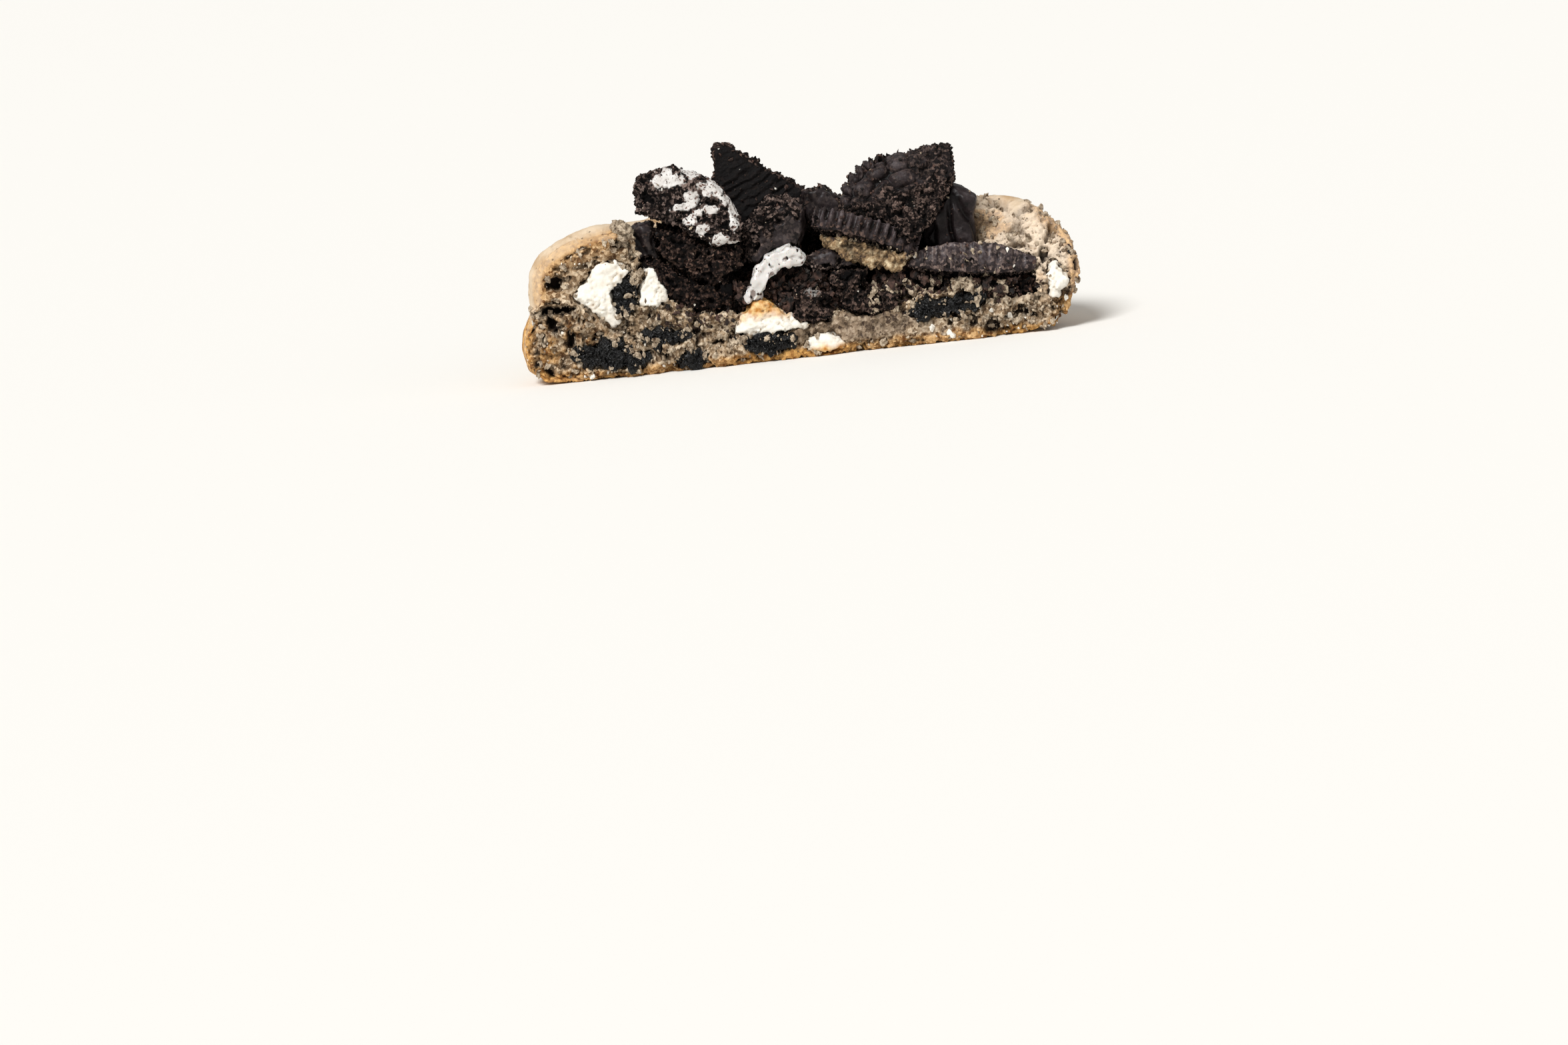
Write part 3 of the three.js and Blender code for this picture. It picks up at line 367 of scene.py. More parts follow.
fleck = put(tree, "MapRange", {0: speck.outputs["Distance"], 1: 0.14, 2: 0.07, 3: 0, 4: 0.7})
flecked = put(tree, "Mix", {0: fleck.outputs[0], 6: browned.outputs[2], 7: srgb("#33261d")}, data_type="RGBA")
# Painted shade, near black brown, in the gaps, holes, low places and cracks.
deep = put(tree, "Mix", {0: painted_shade, 6: flecked.outputs[2], 7: srgb("#1c1007")}, data_type="RGBA")
fine = put(tree, "TexNoise", {"Vector": place, "Scale": 1 / (0.4 * MM), "Detail": 5, "Roughness": 0.65})
grit = put(tree, "Mix", {0: 0.45, 2: fine.outputs["Fac"], 3: cells.outputs["Distance"]})
open_crumb = put(tree, "MapRange", {0: torn, 3: 0.3, 4: 1})
bump = put(tree, "Bump", {"Height": grit.outputs[0], "Strength": open_crumb.outputs[0], "Distance": 0.3 * MM})
dull = put(tree, "MapRange", {0: moist, 3: 0.9, 4: 0.5})
wire(tree, shader, {
    "Base Color": deep.outputs[2], "Normal": bump.outputs[0], "Roughness": dull.outputs[0],
    "Specular IOR Level": 0.3,
})
finish(dough, baked_dough, "dough", "dough_half")

# ------------------------------------------------------------------------------------ white chocolate
# Chopped white chocolate that was folded into the dough. It melted and set again, so the chunks have
# smooth chalky faces and ragged edges, and where the heat reached them they are toasted to amber.


def chocolate_relief(toasting):
    """Chalky chocolate, toasted as toasting(place, wave) says, where the wave runs from -1 to 1."""

    def relief(at, outward):
        inside = 1 - fade(0.2, 0.7, -outward.y)
        ragged = fade(-0.2, 0.25, noise.noise(at / 1.9))
        big, small = grain(at, 1.4), grain(at, 0.6)
        toast = toasting(at, noise.noise(at / 1.4))
        pore = fade(0.28, 0.5, noise.noise(at / 0.7)) * (0.2 + 0.6 * toast + 0.3 * ragged)
        # The sides reach unevenly into the dough, which closes round them.
        flake = 0.25 * (clump(at, 2.2) - 0.5) + ragged * (0.3 * (big - 0.4) + 0.25 * (small - 0.4))
        spread = inside * 0.9 * noise.noise(at / 1.2)
        # Painted shade: the pores and the low places between the flakes are darkened.
        painted_shade = min(1, max(0, 0.8 * pore - 0.5 * flake))
        return flake + spread + 0.1 - 0.4 * pore, (ragged, painted_shade, toast, inside)

    return relief


# Set white chocolate: close-grained and bright with a soft waxy gleam, painted a creamy tan with shade
# in its pores, and amber with brown freckles where the milk in it toasted.
white_chocolate, tree, place, (_, painted_shade, toast, _), shader = start("set white chocolate")
cloud = put(tree, "TexNoise", {"Vector": place, "Scale": 1 / (0.8 * MM), "Detail": 4})
pale = put(tree, "Mix", {0: cloud.outputs["Fac"], 6: srgb("#eae1d0"), 7: srgb("#f6f3ec")}, data_type="RGBA")
amber = put(tree, "ValToRGB", {"Fac": cloud.outputs["Fac"]})
for stop, code, at in ((0, "#b87626", 0.36), (1, "#efcf92", 0.7)):
    amber.color_ramp.elements[stop].color = srgb(code)
    amber.color_ramp.elements[stop].position = at
browned = put(tree, "Mix", {0: toast, 6: pale.outputs[2], 7: amber.outputs[0]}, data_type="RGBA")
# Painted shade: a creamy tan in the pores and low places.
deep = put(tree, "Mix", {0: painted_shade, 6: browned.outputs[2], 7: srgb("#a88c62")}, data_type="RGBA")
fine = put(tree, "TexNoise", {"Vector": place, "Scale": 1 / (0.4 * MM), "Detail": 4})
bump = put(tree, "Bump", {"Height": fine.outputs["Fac"], "Strength": 0.4, "Distance": 0.25 * MM})
wire(tree, shader, {
    "Base Color": deep.outputs[2], "Normal": bump.outputs[0], "Roughness": 0.5, "IOR": 1.46,
})

TOASTING = {
    "white_chunk_left": lambda at, wave: 0.12 * fade(0.1, 0.5, wave),
    "white_chunk_inner": lambda at, wave: 0,
    "white_chunk_right": lambda at, wave: 0,
    "toasted_white_chunk": lambda at, wave: fade(6.6, 8.8, at.z + 1.3 * wave),
    "white_chunk_base": lambda at, wave: 1 - fade(1.0, 2.4, at.z + 0.7 * wave),
}
chunks = []
for node, toasting in TOASTING.items():
    chunk = even(node + "_set", node, 0.22, 3)
    work(chunk, chocolate_relief(toasting))
    toasted = node in ("toasted_white_chunk", "white_chunk_base")
    finish(chunk, white_chocolate, "toasted_white" if toasted else "white_chocolate", node)
    chunks.append(chunk)

# ------------------------------------------------------------------------------------ sunk biscuit
# Pieces of the dark biscuit that were baked inside the dough. They took up its water and turned soft,
# black and shiny, and their edges bled into the dough round them.


def sunk_relief(at, outward):
    front = fade(0.2, 0.7, -outward.y)
    big, small = grain(at, 1.3), grain(at, 0.6)
    knobs = 0.5 * (clump(at, 2) - 0.5) + 0.35 * (big - 0.45) + 0.2 * (small - 0.45)
    # They bled sideways into the dough, which closes over them here and there.
    spread = (1 - front) * (0.5 + 1.3 * noise.noise(at / 1.3))
    return 1.2 * knobs + spread - 0.3 * front, (0, min(1, max(0, 0.5 - big)), small, 0)


# Biscuit soaked with fat and water: nearly black with a blue cast, and wet enough to glint on every knob.
soaked_biscuit, tree, place, _, shader = start("soaked cocoa biscuit")
cloud = put(tree, "TexNoise", {"Vector": place, "Scale": 1 / (0.7 * MM), "Detail": 5})
black = put(tree, "Mix", {0: cloud.outputs["Fac"], 6: srgb("#020202"), 7: srgb("#0d0c0d")}, data_type="RGBA")
fine = put(tree, "TexNoise", {"Vector": place, "Scale": 1 / (0.9 * MM), "Detail": 3, "Roughness": 0.5})
bump = put(tree, "Bump", {"Height": fine.outputs["Fac"], "Strength": 1, "Distance": 1.6 * MM})
wire(tree, shader, {
    "Base Color": black.outputs[2], "Normal": bump.outputs[0], "Roughness": 0.24,
    "Specular IOR Level": 0.34,
})

sunk = []
for node in [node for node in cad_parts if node.startswith("dark_piece")]:
    piece = even(node + "_soft", node, 0.25, 3)
    work(piece, sunk_relief)
    finish(piece, soaked_biscuit, "sunk_biscuit", node)
    sunk.append(piece)

# ------------------------------------------------------------------------------------ crumb bed
# The crater is filled with crushed dark biscuit that was pressed on before baking. It holds together
# with a little melted cream, and its face at the cut is craggy and full of deep gaps, painted dark with
# shade.

# Gaps left between the pieces at the cut, sunk in and painted black with shade: [x, z, half width, half
# height].
GAPS = [[13.0, 12.0, 2.7, 1.7], [4.6, 8.8, 1.7, 1.0], [-10.3, 14.7, 2.4, 1.2], [25.5, 11.4, 4.5, 0.7]]


def broken_relief(at, rough=1):
    """The relief of broken biscuit: lumps of crumbs with pores between, and painted shade in its low places.
    """
    big, small = grain(at, 1.3), grain(at, 0.6)
    pore = fade(0.14, 0.42, noise.fractal(at / 1.7, 1, 2.1, 3))
    rise = 0.75 * (clump(at, 2.8) - 0.56) + 0.42 * (big - 0.45) + 0.26 * (small - 0.45) - 0.7 * pore
    off = min(oval(at, *gap) for gap in GAPS) + 0.5 * noise.noise(at / 1.1)
    gap = (1 - fade(0.6, 1.1, off)) * (1 - fade(6, 9, at.y - CUT))
    # Painted shade: the gaps and low places are darkened towards black.
    return rough * rise - 2 * gap, min(1, max(gap, 0.12 - 1.5 * rise))


def smear(at, outward, smears):
    """How thick cream lies on a front: smears as [x, z, half width, half height], mottled at their edges."""
    near = max(1 - oval(at, *place) for place in smears)
    blot = near + 0.6 * noise.fractal(at / 1.6, 1, 2, 3) + 0.3 * noise.noise(at / 0.6)
    return fade(-0.2, 0.45, blot) * (1 - fade(-0.1, 0.3, outward.y))


# Cream that ran down beside the strand and soaked into the crumbs.
LOW_SMEARS = [[1.3, 13.9, 1.1, 1.7], [2.4, 11.2, 1.6, 1.3], [3.6, 15.6, 1.2, 0.6]]


def bed_relief(at, outward):
    """The bed's rise, how moulded, creamy and dusty it is, and its painted shade."""
    rise, painted_shade = broken_relief(at, 1.5)
    cream = 0.62 * smear(at, outward, LOW_SMEARS)
    return rise, (0, painted_shade * (1 - cream), cream, 0.7 * fade(0.1, 0.5, noise.noise(at / 3.3)))


# Cocoa biscuit, baked dark and broken: dull red-brown crumbs, painted black with shade in their gaps;
# near black on the moulded face, with a grey-blue cast that is partly its own and partly painted sheen;
# and grey where sugar and flour dust lies on it.
cocoa_biscuit, tree, place, (moulded, painted_shade, cream, dust), shader = start("broken cocoa biscuit")
cloud = put(tree, "TexNoise", {"Vector": place, "Scale": 1 / (0.9 * MM), "Detail": 6, "Roughness": 0.7})
cells = put(tree, "TexVoronoi", {"Vector": place, "Scale": 1 / (0.45 * MM)})
own = put(tree, "SeparateColor", {"Color": cells.outputs["Color"]})
uneven = put(tree, "Mix", {0: 0.38, 2: cloud.outputs["Fac"], 3: own.outputs[0]})
crumbs = put(tree, "ValToRGB", {"Fac": uneven.outputs[0]})
for stop, code, at in ((0, "#050302", 0.36), (1, "#7c5e4e", 0.76)):
    crumbs.color_ramp.elements[stop].color = srgb(code)
    crumbs.color_ramp.elements[stop].position = at
crumbs.color_ramp.elements.new(0.5).color = srgb("#1b110d")
crumbs.color_ramp.elements.new(0.62).color = srgb("#3a2820")
worn = put(tree, "TexNoise", {"Vector": place, "Scale": 1 / (2.2 * MM), "Detail": 6, "Roughness": 0.62})
# Partly painted sheen: the moulded face's grey-blue cast is partly its own tone and partly the gleam of
# light.
moulded_tone_and_sheen = put(tree, "ValToRGB", {"Fac": worn.outputs["Fac"]})
for stop, code, at in ((0, "#120e0e", 0.34), (1, "#6f6566", 0.76)):
    moulded_tone_and_sheen.color_ramp.elements[stop].color = srgb(code)
    moulded_tone_and_sheen.color_ramp.elements[stop].position = at
moulded_tone_and_sheen.color_ramp.elements.new(0.54).color = srgb("#3a3132")
body = put(tree, "Mix", {0: moulded, 6: crumbs.outputs[0], 7: moulded_tone_and_sheen.outputs[0]}, data_type="RGBA")
dusting = put(tree, "MapRange", {0: uneven.outputs[0], 1: 0.5, 2: 0.68})
dusted = put(tree, "Math", {0: dusting.outputs[0], 1: dust}, operation="MULTIPLY")
powdered = put(tree, "Mix", {0: dusted.outputs[0], 6: body.outputs[2], 7: srgb("#94827a")}, data_type="RGBA")
# Painted shade: black in the gaps, pores, low places, creases and ridge valleys.
deep = put(tree, "Mix", {0: painted_shade, 6: powdered.outputs[2], 7: srgb("#030101")}, data_type="RGBA")
stain = put(tree, "TexNoise", {"Vector": place, "Scale": 1 / (0.6 * MM), "Detail": 5, "Roughness": 0.65})
freckle = put(tree, "MapRange", {0: stain.outputs["Fac"], 1: 0.54, 2: 0.62})
veil = put(tree, "TexNoise", {"Vector": place, "Scale": 1 / (1.8 * MM), "Detail": 3})
milk = put(tree, "Mix", {0: veil.outputs["Fac"], 6: srgb("#b5aca4"), 7: srgb("#f1f0ed")}, data_type="RGBA")
creamy = put(tree, "Mix", {0: freckle.outputs[0], 6: milk.outputs[2], 7: srgb("#5e4034")}, data_type="RGBA")
broken_up = put(tree, "Math", {0: cream, 1: stain.outputs["Fac"]}, operation="ADD")
covers = put(tree, "MapRange", {0: broken_up.outputs[0], 1: 1.0, 2: 1.28})
creamed = put(tree, "Mix", {0: covers.outputs[0], 6: deep.outputs[2], 7: creamy.outputs[2]}, data_type="RGBA")
fine = put(tree, "TexNoise", {"Vector": place, "Scale": 1 / (0.4 * MM), "Detail": 6, "Roughness": 0.68})
grit = put(tree, "Mix", {0: 0.4, 2: fine.outputs["Fac"], 3: cells.outputs["Distance"]})
rough = put(tree, "MapRange", {0: moulded, 3: 1, 4: 0.16})
calm = put(tree, "MapRange", {0: cream, 3: 1, 4: 0.3})
both = put(tree, "Math", {0: rough.outputs[0], 1: calm.outputs[0]}, operation="MULTIPLY")
bump = put(tree, "Bump", {"Height": grit.outputs[0], "Strength": both.outputs[0], "Distance": 0.4 * MM})
dull = put(tree, "MapRange", {0: moulded, 3: 0.88, 4: 0.36})
gloss = put(tree, "Mix", {0: cream, 2: dull.outputs[0], 3: 0.45})
wire(tree, shader, {
    "Base Color": creamed.outputs[2], "Normal": bump.outputs[0], "Roughness": gloss.outputs[0],
    "Specular IOR Level": 0.16,
})

bed = even("crumb_bed_pressed", "crumb_bed", 0.4, 3)
work(bed, bed_relief)
finish(bed, cocoa_biscuit, "crumbs", "crumb_bed")
lump = even("crumb_lump_pressed", "crumb_lump_right", 0.28, 3)
work(lump, bed_relief)
finish(lump, cocoa_biscuit, "crumbs", "crumb_lump_right")

# ------------------------------------------------------------------------------------ broken pieces
# Round dark biscuits, broken by hand and piled on the bed. Most sides are broken crumb. A few keep a
# piece of the moulded face, which is harder, smoother and nearly black.


def facing(outward, x, y, z, low, high):
    """How far a side faces the way (x, y, z): 0 up to the cosine `low`, and 1 from `high` on."""
    return fade(low, high, outward.dot(Vector((x, y, z)).normalized()))


# The cream on the big piece at the left, as it was left when the biscuit was twisted open.
SMEARS = [
    [-19.4, 32.0, 3.4, 1.5], [-15.3, 32.8, 2.8, 1.5], [-12.0, 29.5, 1.9, 1.7], [-14.5, 30.6, 1.0, 0.8],
    [-16.1, 28.9, 1.2, 1.3], [-17.5, 27.3, 2.7, 0.7], [-13.1, 26.4, 1.5, 0.9], [-15.3, 26.2, 1.1, 0.8],
    [-16.4, 25.0, 1.6, 1.2], [-14.6, 23.4, 1.6, 1.3], [-11.9, 21.5, 1.8, 1.2], [-9.9, 20.0, 1.4, 1.4],
    [-9.5, 25.2, 0.9, 3.6], [-10.4, 27.8, 1.2, 1.0],
]


def smeared(smears, thick, dust):
    """Broken biscuit with cream smeared over its front, mottled with crumbs at its edges."""

    def relief(at, outward):
        cream = thick * smear(at, outward, smears)
        rise, painted_shade = broken_relief(at)
        flat = 0.15 + 0.25 * noise.noise(at / 1.3)
        return rise * (1 - 0.75 * cream) + cream * flat, (0, painted_shade * (1 - cream), cream, dust)

    return relief


# Rows of the embossing, inwards from the rim: distance from the middle, half width, motifs all round.
EMBOSSED = [[9.9, 0.8, 36], [7.9, 1.15, 16], [5.4, 1.2, 9], [2.9, 1.1, 5]]
EMBOSSED_X, EMBOSSED_Z = 20.5, 22.5  # their middle


def beaded(at, outward):
    """The moulded face of the embossed piece: rows of beads and petals that follow its toothed rim."""
    x, z = (at.x - EMBOSSED_X) / 1.2, at.z - EMBOSSED_Z  # the rows are wider than they are tall
    out = math.hypot(x, z) + 0.3 * noise.noise(at / 1.8)
    turn = math.atan2(z, x) / (2 * math.pi)
    over = at.z - 24.4 - 0.16 * (at.x - 8.9) + 1.6 * noise.fractal(at / 3, 1, 2, 2)
    moulded = facing(outward, 0, -1, 0.4, 0.0, 0.4) * fade(-0.5, 0.7, over) * (1 - 0.6 * fade(19, 23, at.x))
    emboss = 0
    for ring, half, motifs in EMBOSSED:
        across, beside = (out - ring) / half, 2 * abs((turn * motifs) % 1 - 0.5)
        emboss = max(emboss, half * math.sqrt(max(0, 1 - across * across - beside**4)))
    rise, painted_shade = broken_relief(at)
    wear = 0.1 * noise.noise(at / 0.9)
    # Painted shade in the creases between the beads and petals.
    dim = 0.9 * (1 - fade(0.0, 0.6, emboss))
    rise = rise * (1 - moulded) + moulded * (1.1 * emboss - 0.6 + wear)
    shade = painted_shade * (1 - moulded) + max(0.25, dim) * moulded
    return rise, (0.8 * moulded, shade, 0, 0.45 - 0.3 * moulded)


def ribbed(at, outward):
    """The face of the pointed piece, painted nearly black with shade, with the faint wavy ribs of its mould.
    """
    front = facing(outward, 0, -1, 0, 0.3, 0.7)
    wave = math.sin(2 * math.pi * (0.91 * at.z - 0.42 * at.x + 0.6 * noise.noise(at / 2.2)) / 1.35)
    faint = fade(-0.4, 0.3, noise.noise(at / 4))
    rise, painted_shade = broken_relief(at)
    rise = rise * (1 - 0.85 * front) + front * 0.19 * wave * faint
    # Painted shade: the front face is darkened nearly to black.
    shade = painted_shade * (1 - front) + (0.98 - 0.06 * abs(wave)) * front
    return rise, (0.4 * front, shade, 0, 0.35 * (1 - front))


def plain(*sides, dust, folds=0, rough=1):
    """Broken biscuit that is still moulded on the given sides."""

    def relief(at, outward):
        ragged = 0.4 * noise.fractal(at / 2.2, 1, 2, 2)
        moulded = max([facing(outward, *side, 0.4 - ragged, 0.6 - ragged) for side in sides], default=0)
        rise, painted_shade = broken_relief(at, rough)
        # Folds left where a piece bent before it broke: long rounded ridges with creases between them.
        bent = Vector((at.x, at.y, 0.45 * at.z))
        crease = 1 - fade(0, 0.3, abs(noise.noise(bent / 3.2)))
        flat = folds * (0.5 - crease + 0.8 * noise.noise(at / 3.6))
        flat += 0.1 * noise.noise(at / 1.1) + 0.25 * noise.noise(at / 2.6)
        powder = dust * (1 - 0.6 * moulded)
        # Painted shade in the creases of the folds.
        shade = max(painted_shade * (1 - moulded), moulded * (0.5 + 0.5 * folds * crease))
        return rise * (1 - moulded) + moulded * flat, (moulded, min(1, shade), 0, powder)

    return relief


PIECES = {
    "cream_covered_piece": smeared(SMEARS, 1, 0.75),
    "block_under_cream": plain(dust=0.15, rough=1.2),
    "block_left_low": plain(dust=0.1, rough=1.2),
    "small_piece_left": plain((-0.6, -1, 0.6), dust=0.8, folds=0.8),
    "round_piece_middle": plain((0.9, -0.5, -0.5), dust=0.65),
    "crumb_piece_slate": plain((0, -0.6, 1), dust=0.9),
    "crumb_piece_centre": plain(dust=0.3, rough=1.2),
    "crumb_piece_low": smeared(LOW_SMEARS, 0.6, 0.3),
    "crumb_piece_right": plain(dust=0.3, rough=1.2),
    "embossed_piece": beaded,
    "pointed_shard": ribbed,
    "small_piece_middle": plain((-1, -0.8, 0.2), (0.3, -1, 0.3), dust=0.6, folds=0.3),
    "curled_piece_right": plain((0, -1, 0), (0, 0, 1), (1, 0, 0), (-1, 0, 0), folds=0.85, dust=0.1),
    "block_top_middle": plain((0.3, 0.6, 1), dust=0.4),
    "block_back_left": plain((-0.5, 1, 0.5), dust=0.3),
    "block_back_middle": plain(dust=0.6),
    "block_right_inner": plain((0.4, 0, 1), dust=0.3),
    "block_left_inner": plain(dust=0.4),
}
AT_THE_BACK = (
    "block_top_middle", "block_back_left", "block_back_middle", "block_right_inner", "block_left_inner",
)
broken = {}
for node, relief in PIECES.items():
    size = 0.34 if node in AT_THE_BACK else 0.2
    # The small one at the left is worn round.
    piece = even(node + "_broken", node, size, 45 if node == "small_piece_left" else 1)
    work(piece, relief)
    finish(piece, cocoa_biscuit, "biscuit", node)
    broken[node] = piece

# ------------------------------------------------------------------------------------ ridged pieces
# Pieces that keep the biscuit's edge. The mould pressed about ninety ridges round it, so the edge is
# scalloped and smooth, and behind it the wafer is broken off.

RADIUS = 22.5  # of the biscuit, in millimetres
# Where each lies, its turn in degrees, its ridges all round, their depth in mm, how dark it is, and how
# much of its ridges rubbed off.
RIDGED = {
    "edge_piece_middle": ((12.4, -22.4, 20.6), (-24, 22, 0), 90, 0.32, 0, 0),
    "edge_piece_right": ((29.5, -22.8, 13.8), (-20, 8, 0), 156, 0.12, 0, 0.4),
    "edge_piece_back_left": ((-18.9, -4.8, 23.4), (-32, 8, 225), 90, 0.2, 0.45, 0),
    "edge_piece_back_right": ((17.1, -1.6, 22), (-26, -6, 137), 90, 0.2, 0.45, 0),
    "edge_piece_back_middle": ((0.2, 6.4, 21.8), (-22, 7, 176), 90, 0.2, 0.45, 0),
}


def ridged_relief(where, turn, ridges, deep, dark, rubbed):
    """The edge of the biscuit: ridges on its rim, with a row of beads inside them on its moulded face."""
    lie = (Matrix.Translation(where) @ Euler([math.radians(a) for a in turn]).to_matrix().to_4x4()).inverted()

    def relief(at, outward):
        spot, way = lie @ at, lie.to_3x3() @ outward
        out = RADIUS - math.hypot(spot.x, RADIUS - spot.y)
        ragged = 0.8 * noise.noise(at / 2)
        rim = (1 - fade(0.7, 1.3, out)) * fade(0.2, 0.6, -way.y)
        top = fade(0.5, 0.8, way.z) * (1 - fade(3.6, 4.6, out + ragged))
        moulded = max(rim, top)
        ridge = math.cos(ridges * math.atan2(spot.x, RADIUS - spot.y) + 0.8 * noise.noise(at / 3))
        upper = fade(-1.4, 0.2, spot.z + 0.6 * ragged)
        bead = max(0, 1 - abs(out - 2.4) / 0.9) * max(0, ridge)
        worn = fade(rubbed - 0.5, rubbed + 0.1, noise.noise(at / 3))
        rise, painted_shade = broken_relief(at)
        left = worn + (0.5 - 0.5 * worn) * (1 - 2 * rubbed)
        mould = rim * upper * deep * left * ridge + top * 0.4 * bead + 0.08 * noise.noise(at / 0.8)
        mould += rubbed * 0.9 * noise.noise(at / 2.4)
        rise = rise * (1 - 0.95 * moulded) + moulded * mould
        # Painted shade in the valleys between the ridges.
        shade = painted_shade * (1 - moulded) + dark * moulded + 0.7 * rim * upper * left * max(0, -ridge)
        dust = 0.1 + 0.9 * rubbed + 0.25 * (1 - moulded)
        return rise, (moulded * (0.4 + 0.6 * upper), min(1, shade), 0, dust)

    return relief


for node, (where, turn, *marks) in RIDGED.items():
    size = 0.3 if "back" in node else 0.2
    # The right one rubbed smooth, so that only fine scratches of its ridges are left.
    piece = even(node + "_broken", node, size, 14 if node == "edge_piece_right" else 1)
    work(piece, ridged_relief(where, turn, *marks))
    finish(piece, cocoa_biscuit, "biscuit", node)
    broken[node] = piece

# ------------------------------------------------------------------------------------ soaked crumb
# Under the ridged piece at the cut sticks a lump of dough crumb that took up melted cream and cocoa. It
# is porous, tan, and mottled with dark crumbs.


def soaked_relief(at, outward):
    rise, painted_shade = broken_relief(at, 1.1)
    spread = 0.6 * noise.noise(at / 1.4) * (1 - fade(0.3, 0.7, -outward.y))
    return rise + spread + 0.15, (0, 0.8 * painted_shade, 0, 0)


# Dough crumb soaked with cream and cocoa: dull tan with dark brown mottling, and painted shade in its open
# pores.
soaked_crumb, tree, place, (_, painted_shade, _, _), shader = start("soaked dough crumb")
cloud = put(tree, "TexNoise", {"Vector": place, "Scale": 1 / (1.2 * MM), "Detail": 7, "Roughness": 0.7})
tan = put(tree, "ValToRGB", {"Fac": cloud.outputs["Fac"]})
for stop, code, at in ((0, "#2c1c12", 0.37), (1, "#d8c4a0", 0.66)):
    tan.color_ramp.elements[stop].color = srgb(code)
    tan.color_ramp.elements[stop].position = at
tan.color_ramp.elements.new(0.5).color = srgb("#927551")
# Painted shade: dark brown in the pores.
deep = put(tree, "Mix", {0: painted_shade, 6: tan.outputs[0], 7: srgb("#20150c")}, data_type="RGBA")
fine = put(tree, "TexNoise", {"Vector": place, "Scale": 1 / (0.35 * MM), "Detail": 4})
bump = put(tree, "Bump", {"Height": fine.outputs["Fac"], "Strength": 0.6, "Distance": 0.25 * MM})
wire(tree, shader, {"Base Color": deep.outputs[2], "Normal": bump.outputs[0], "Roughness": 0.85})

soaked = even("soaked_crumb_lump", "soaked_crumb_middle", 0.25, 4)
work(soaked, soaked_relief)
finish(soaked, soaked_crumb, "soaked_crumb", "soaked_crumb_middle")

# ------------------------------------------------------------------------------------ cream
# The biscuits' white filling, which melted and ran between the pieces. Where it hangs over the crumbs at
# the cut it set as a glossy strand with cocoa specks stuck to it.


def cream_relief(at, outward):
    """Uneven blobs with ragged edges, dented where crumbs stuck to them."""
    blobs = 0.6 * noise.noise(at / 2) + 0.3 * (clump(at, 2.6) - 0.5) + 0.05 * noise.noise(at / 0.7)
    spread = 0.9 * noise.noise(at / 1.5) * (1 - fade(0.2, 0.7, abs(outward.y)))
    dent = fade(0.25, 0.5, noise.noise(at / 1.2))
    return blobs + spread - 0.35 * dent, (0, dent, 0, 0)


# Set sugar cream: smooth and milky with a soft gloss, slightly clear at its thin edges, brown-specked,
# and painted grey-brown with shade in its dents.
sugar_cream, tree, place, (_, painted_shade, _, _), shader = start("set sugar cream")
spot = put(tree, "TexNoise", {"Vector": place, "Scale": 1 / (0.45 * MM), "Detail": 3, "Roughness": 0.6})
speck = put(tree, "MapRange", {0: spot.outputs["Fac"], 1: 0.61, 2: 0.67})
veil = put(tree, "TexNoise", {"Vector": place, "Scale": 1 / (2.4 * MM), "Detail": 3})
milk = put(tree, "Mix", {0: veil.outputs["Fac"], 6: srgb("#b9b0a8"), 7: srgb("#eeeeec")}, data_type="RGBA")
where = put(tree, "MapRange", {0: veil.outputs["Fac"], 1: 0.38, 2: 0.55})
sparse = put(tree, "Math", {0: speck.outputs[0], 1: where.outputs[0]}, operation="MULTIPLY")
specked = put(tree, "Mix", {0: sparse.outputs[0], 6: milk.outputs[2], 7: srgb("#5b3526")}, data_type="RGBA")
# Painted shade: grey-brown in the dents.
dent_shade = put(tree, "Math", {0: painted_shade, 1: 0.75}, operation="MULTIPLY")
shaded_in_dents = put(tree, "Mix", {0: dent_shade.outputs[0], 6: specked.outputs[2], 7: srgb("#6b5143")}, data_type="RGBA")
wire(tree, shader, {
    "Base Color": shaded_in_dents.outputs[2], "Roughness": 0.26,
    "Subsurface Weight": 0.15, "Subsurface Scale": 0.6 * MM,
})

strand = even("cream_strand_set", "cream_strand", 0.2, 14)
work(strand, cream_relief)
finish(strand, sugar_cream, "cream", "cream_strand")

# ------------------------------------------------------------------------------------ loose crumbs
# Breaking the cookie and the biscuits left crumbs on every ledge: tan ones from the dough, dark ones
# from the biscuits and a few white chips. Each kind is one mesh.


def nuggets(seed, halvings):
    """Eight small broken shapes, one unit in radius, to lay about."""
    dice = random.Random(seed)
    shapes = []
    for number in range(8):
        nugget = bmesh.new()
        bmesh.ops.create_icosphere(nugget, subdivisions=halvings, radius=1)
        lean = Vector((1, dice.uniform(0.6, 0.95), dice.uniform(0.45, 0.8)))
        for corner in nugget.verts:
            off = Vector((seed, number * 5, 0))
            lump = 1 + 0.8 * noise.noise(corner.co * 1.3 + off) + 0.6 * noise.noise(corner.co * 3.1 + off)
            corner.co = corner.co * lean * (lump * dice.uniform(0.7, 1.2))
        mesh = bpy.data.meshes.new("nugget")
        nugget.to_mesh(mesh)
        nugget.free()
        shapes.append(mesh)
    return shapes


def spots(pieces, count, wanted, dice):
    """`count` random places on the given pieces, more of them where wanted(place, outward, look) is
    higher. `look` holds the shares that the piece's own relief left there."""
    found, weights = [], []
    for piece in pieces:
        look = piece.data.attributes["look"].data
        for face in piece.data.polygons:
            share = wanted(face.center / MM, face.normal, look[face.vertices[0]].color)
            if share > 0.02:
                found.append((face.center.copy(), face.normal.copy()))
                weights.append(share * face.area)
    return dice.choices(found, weights, k=count)


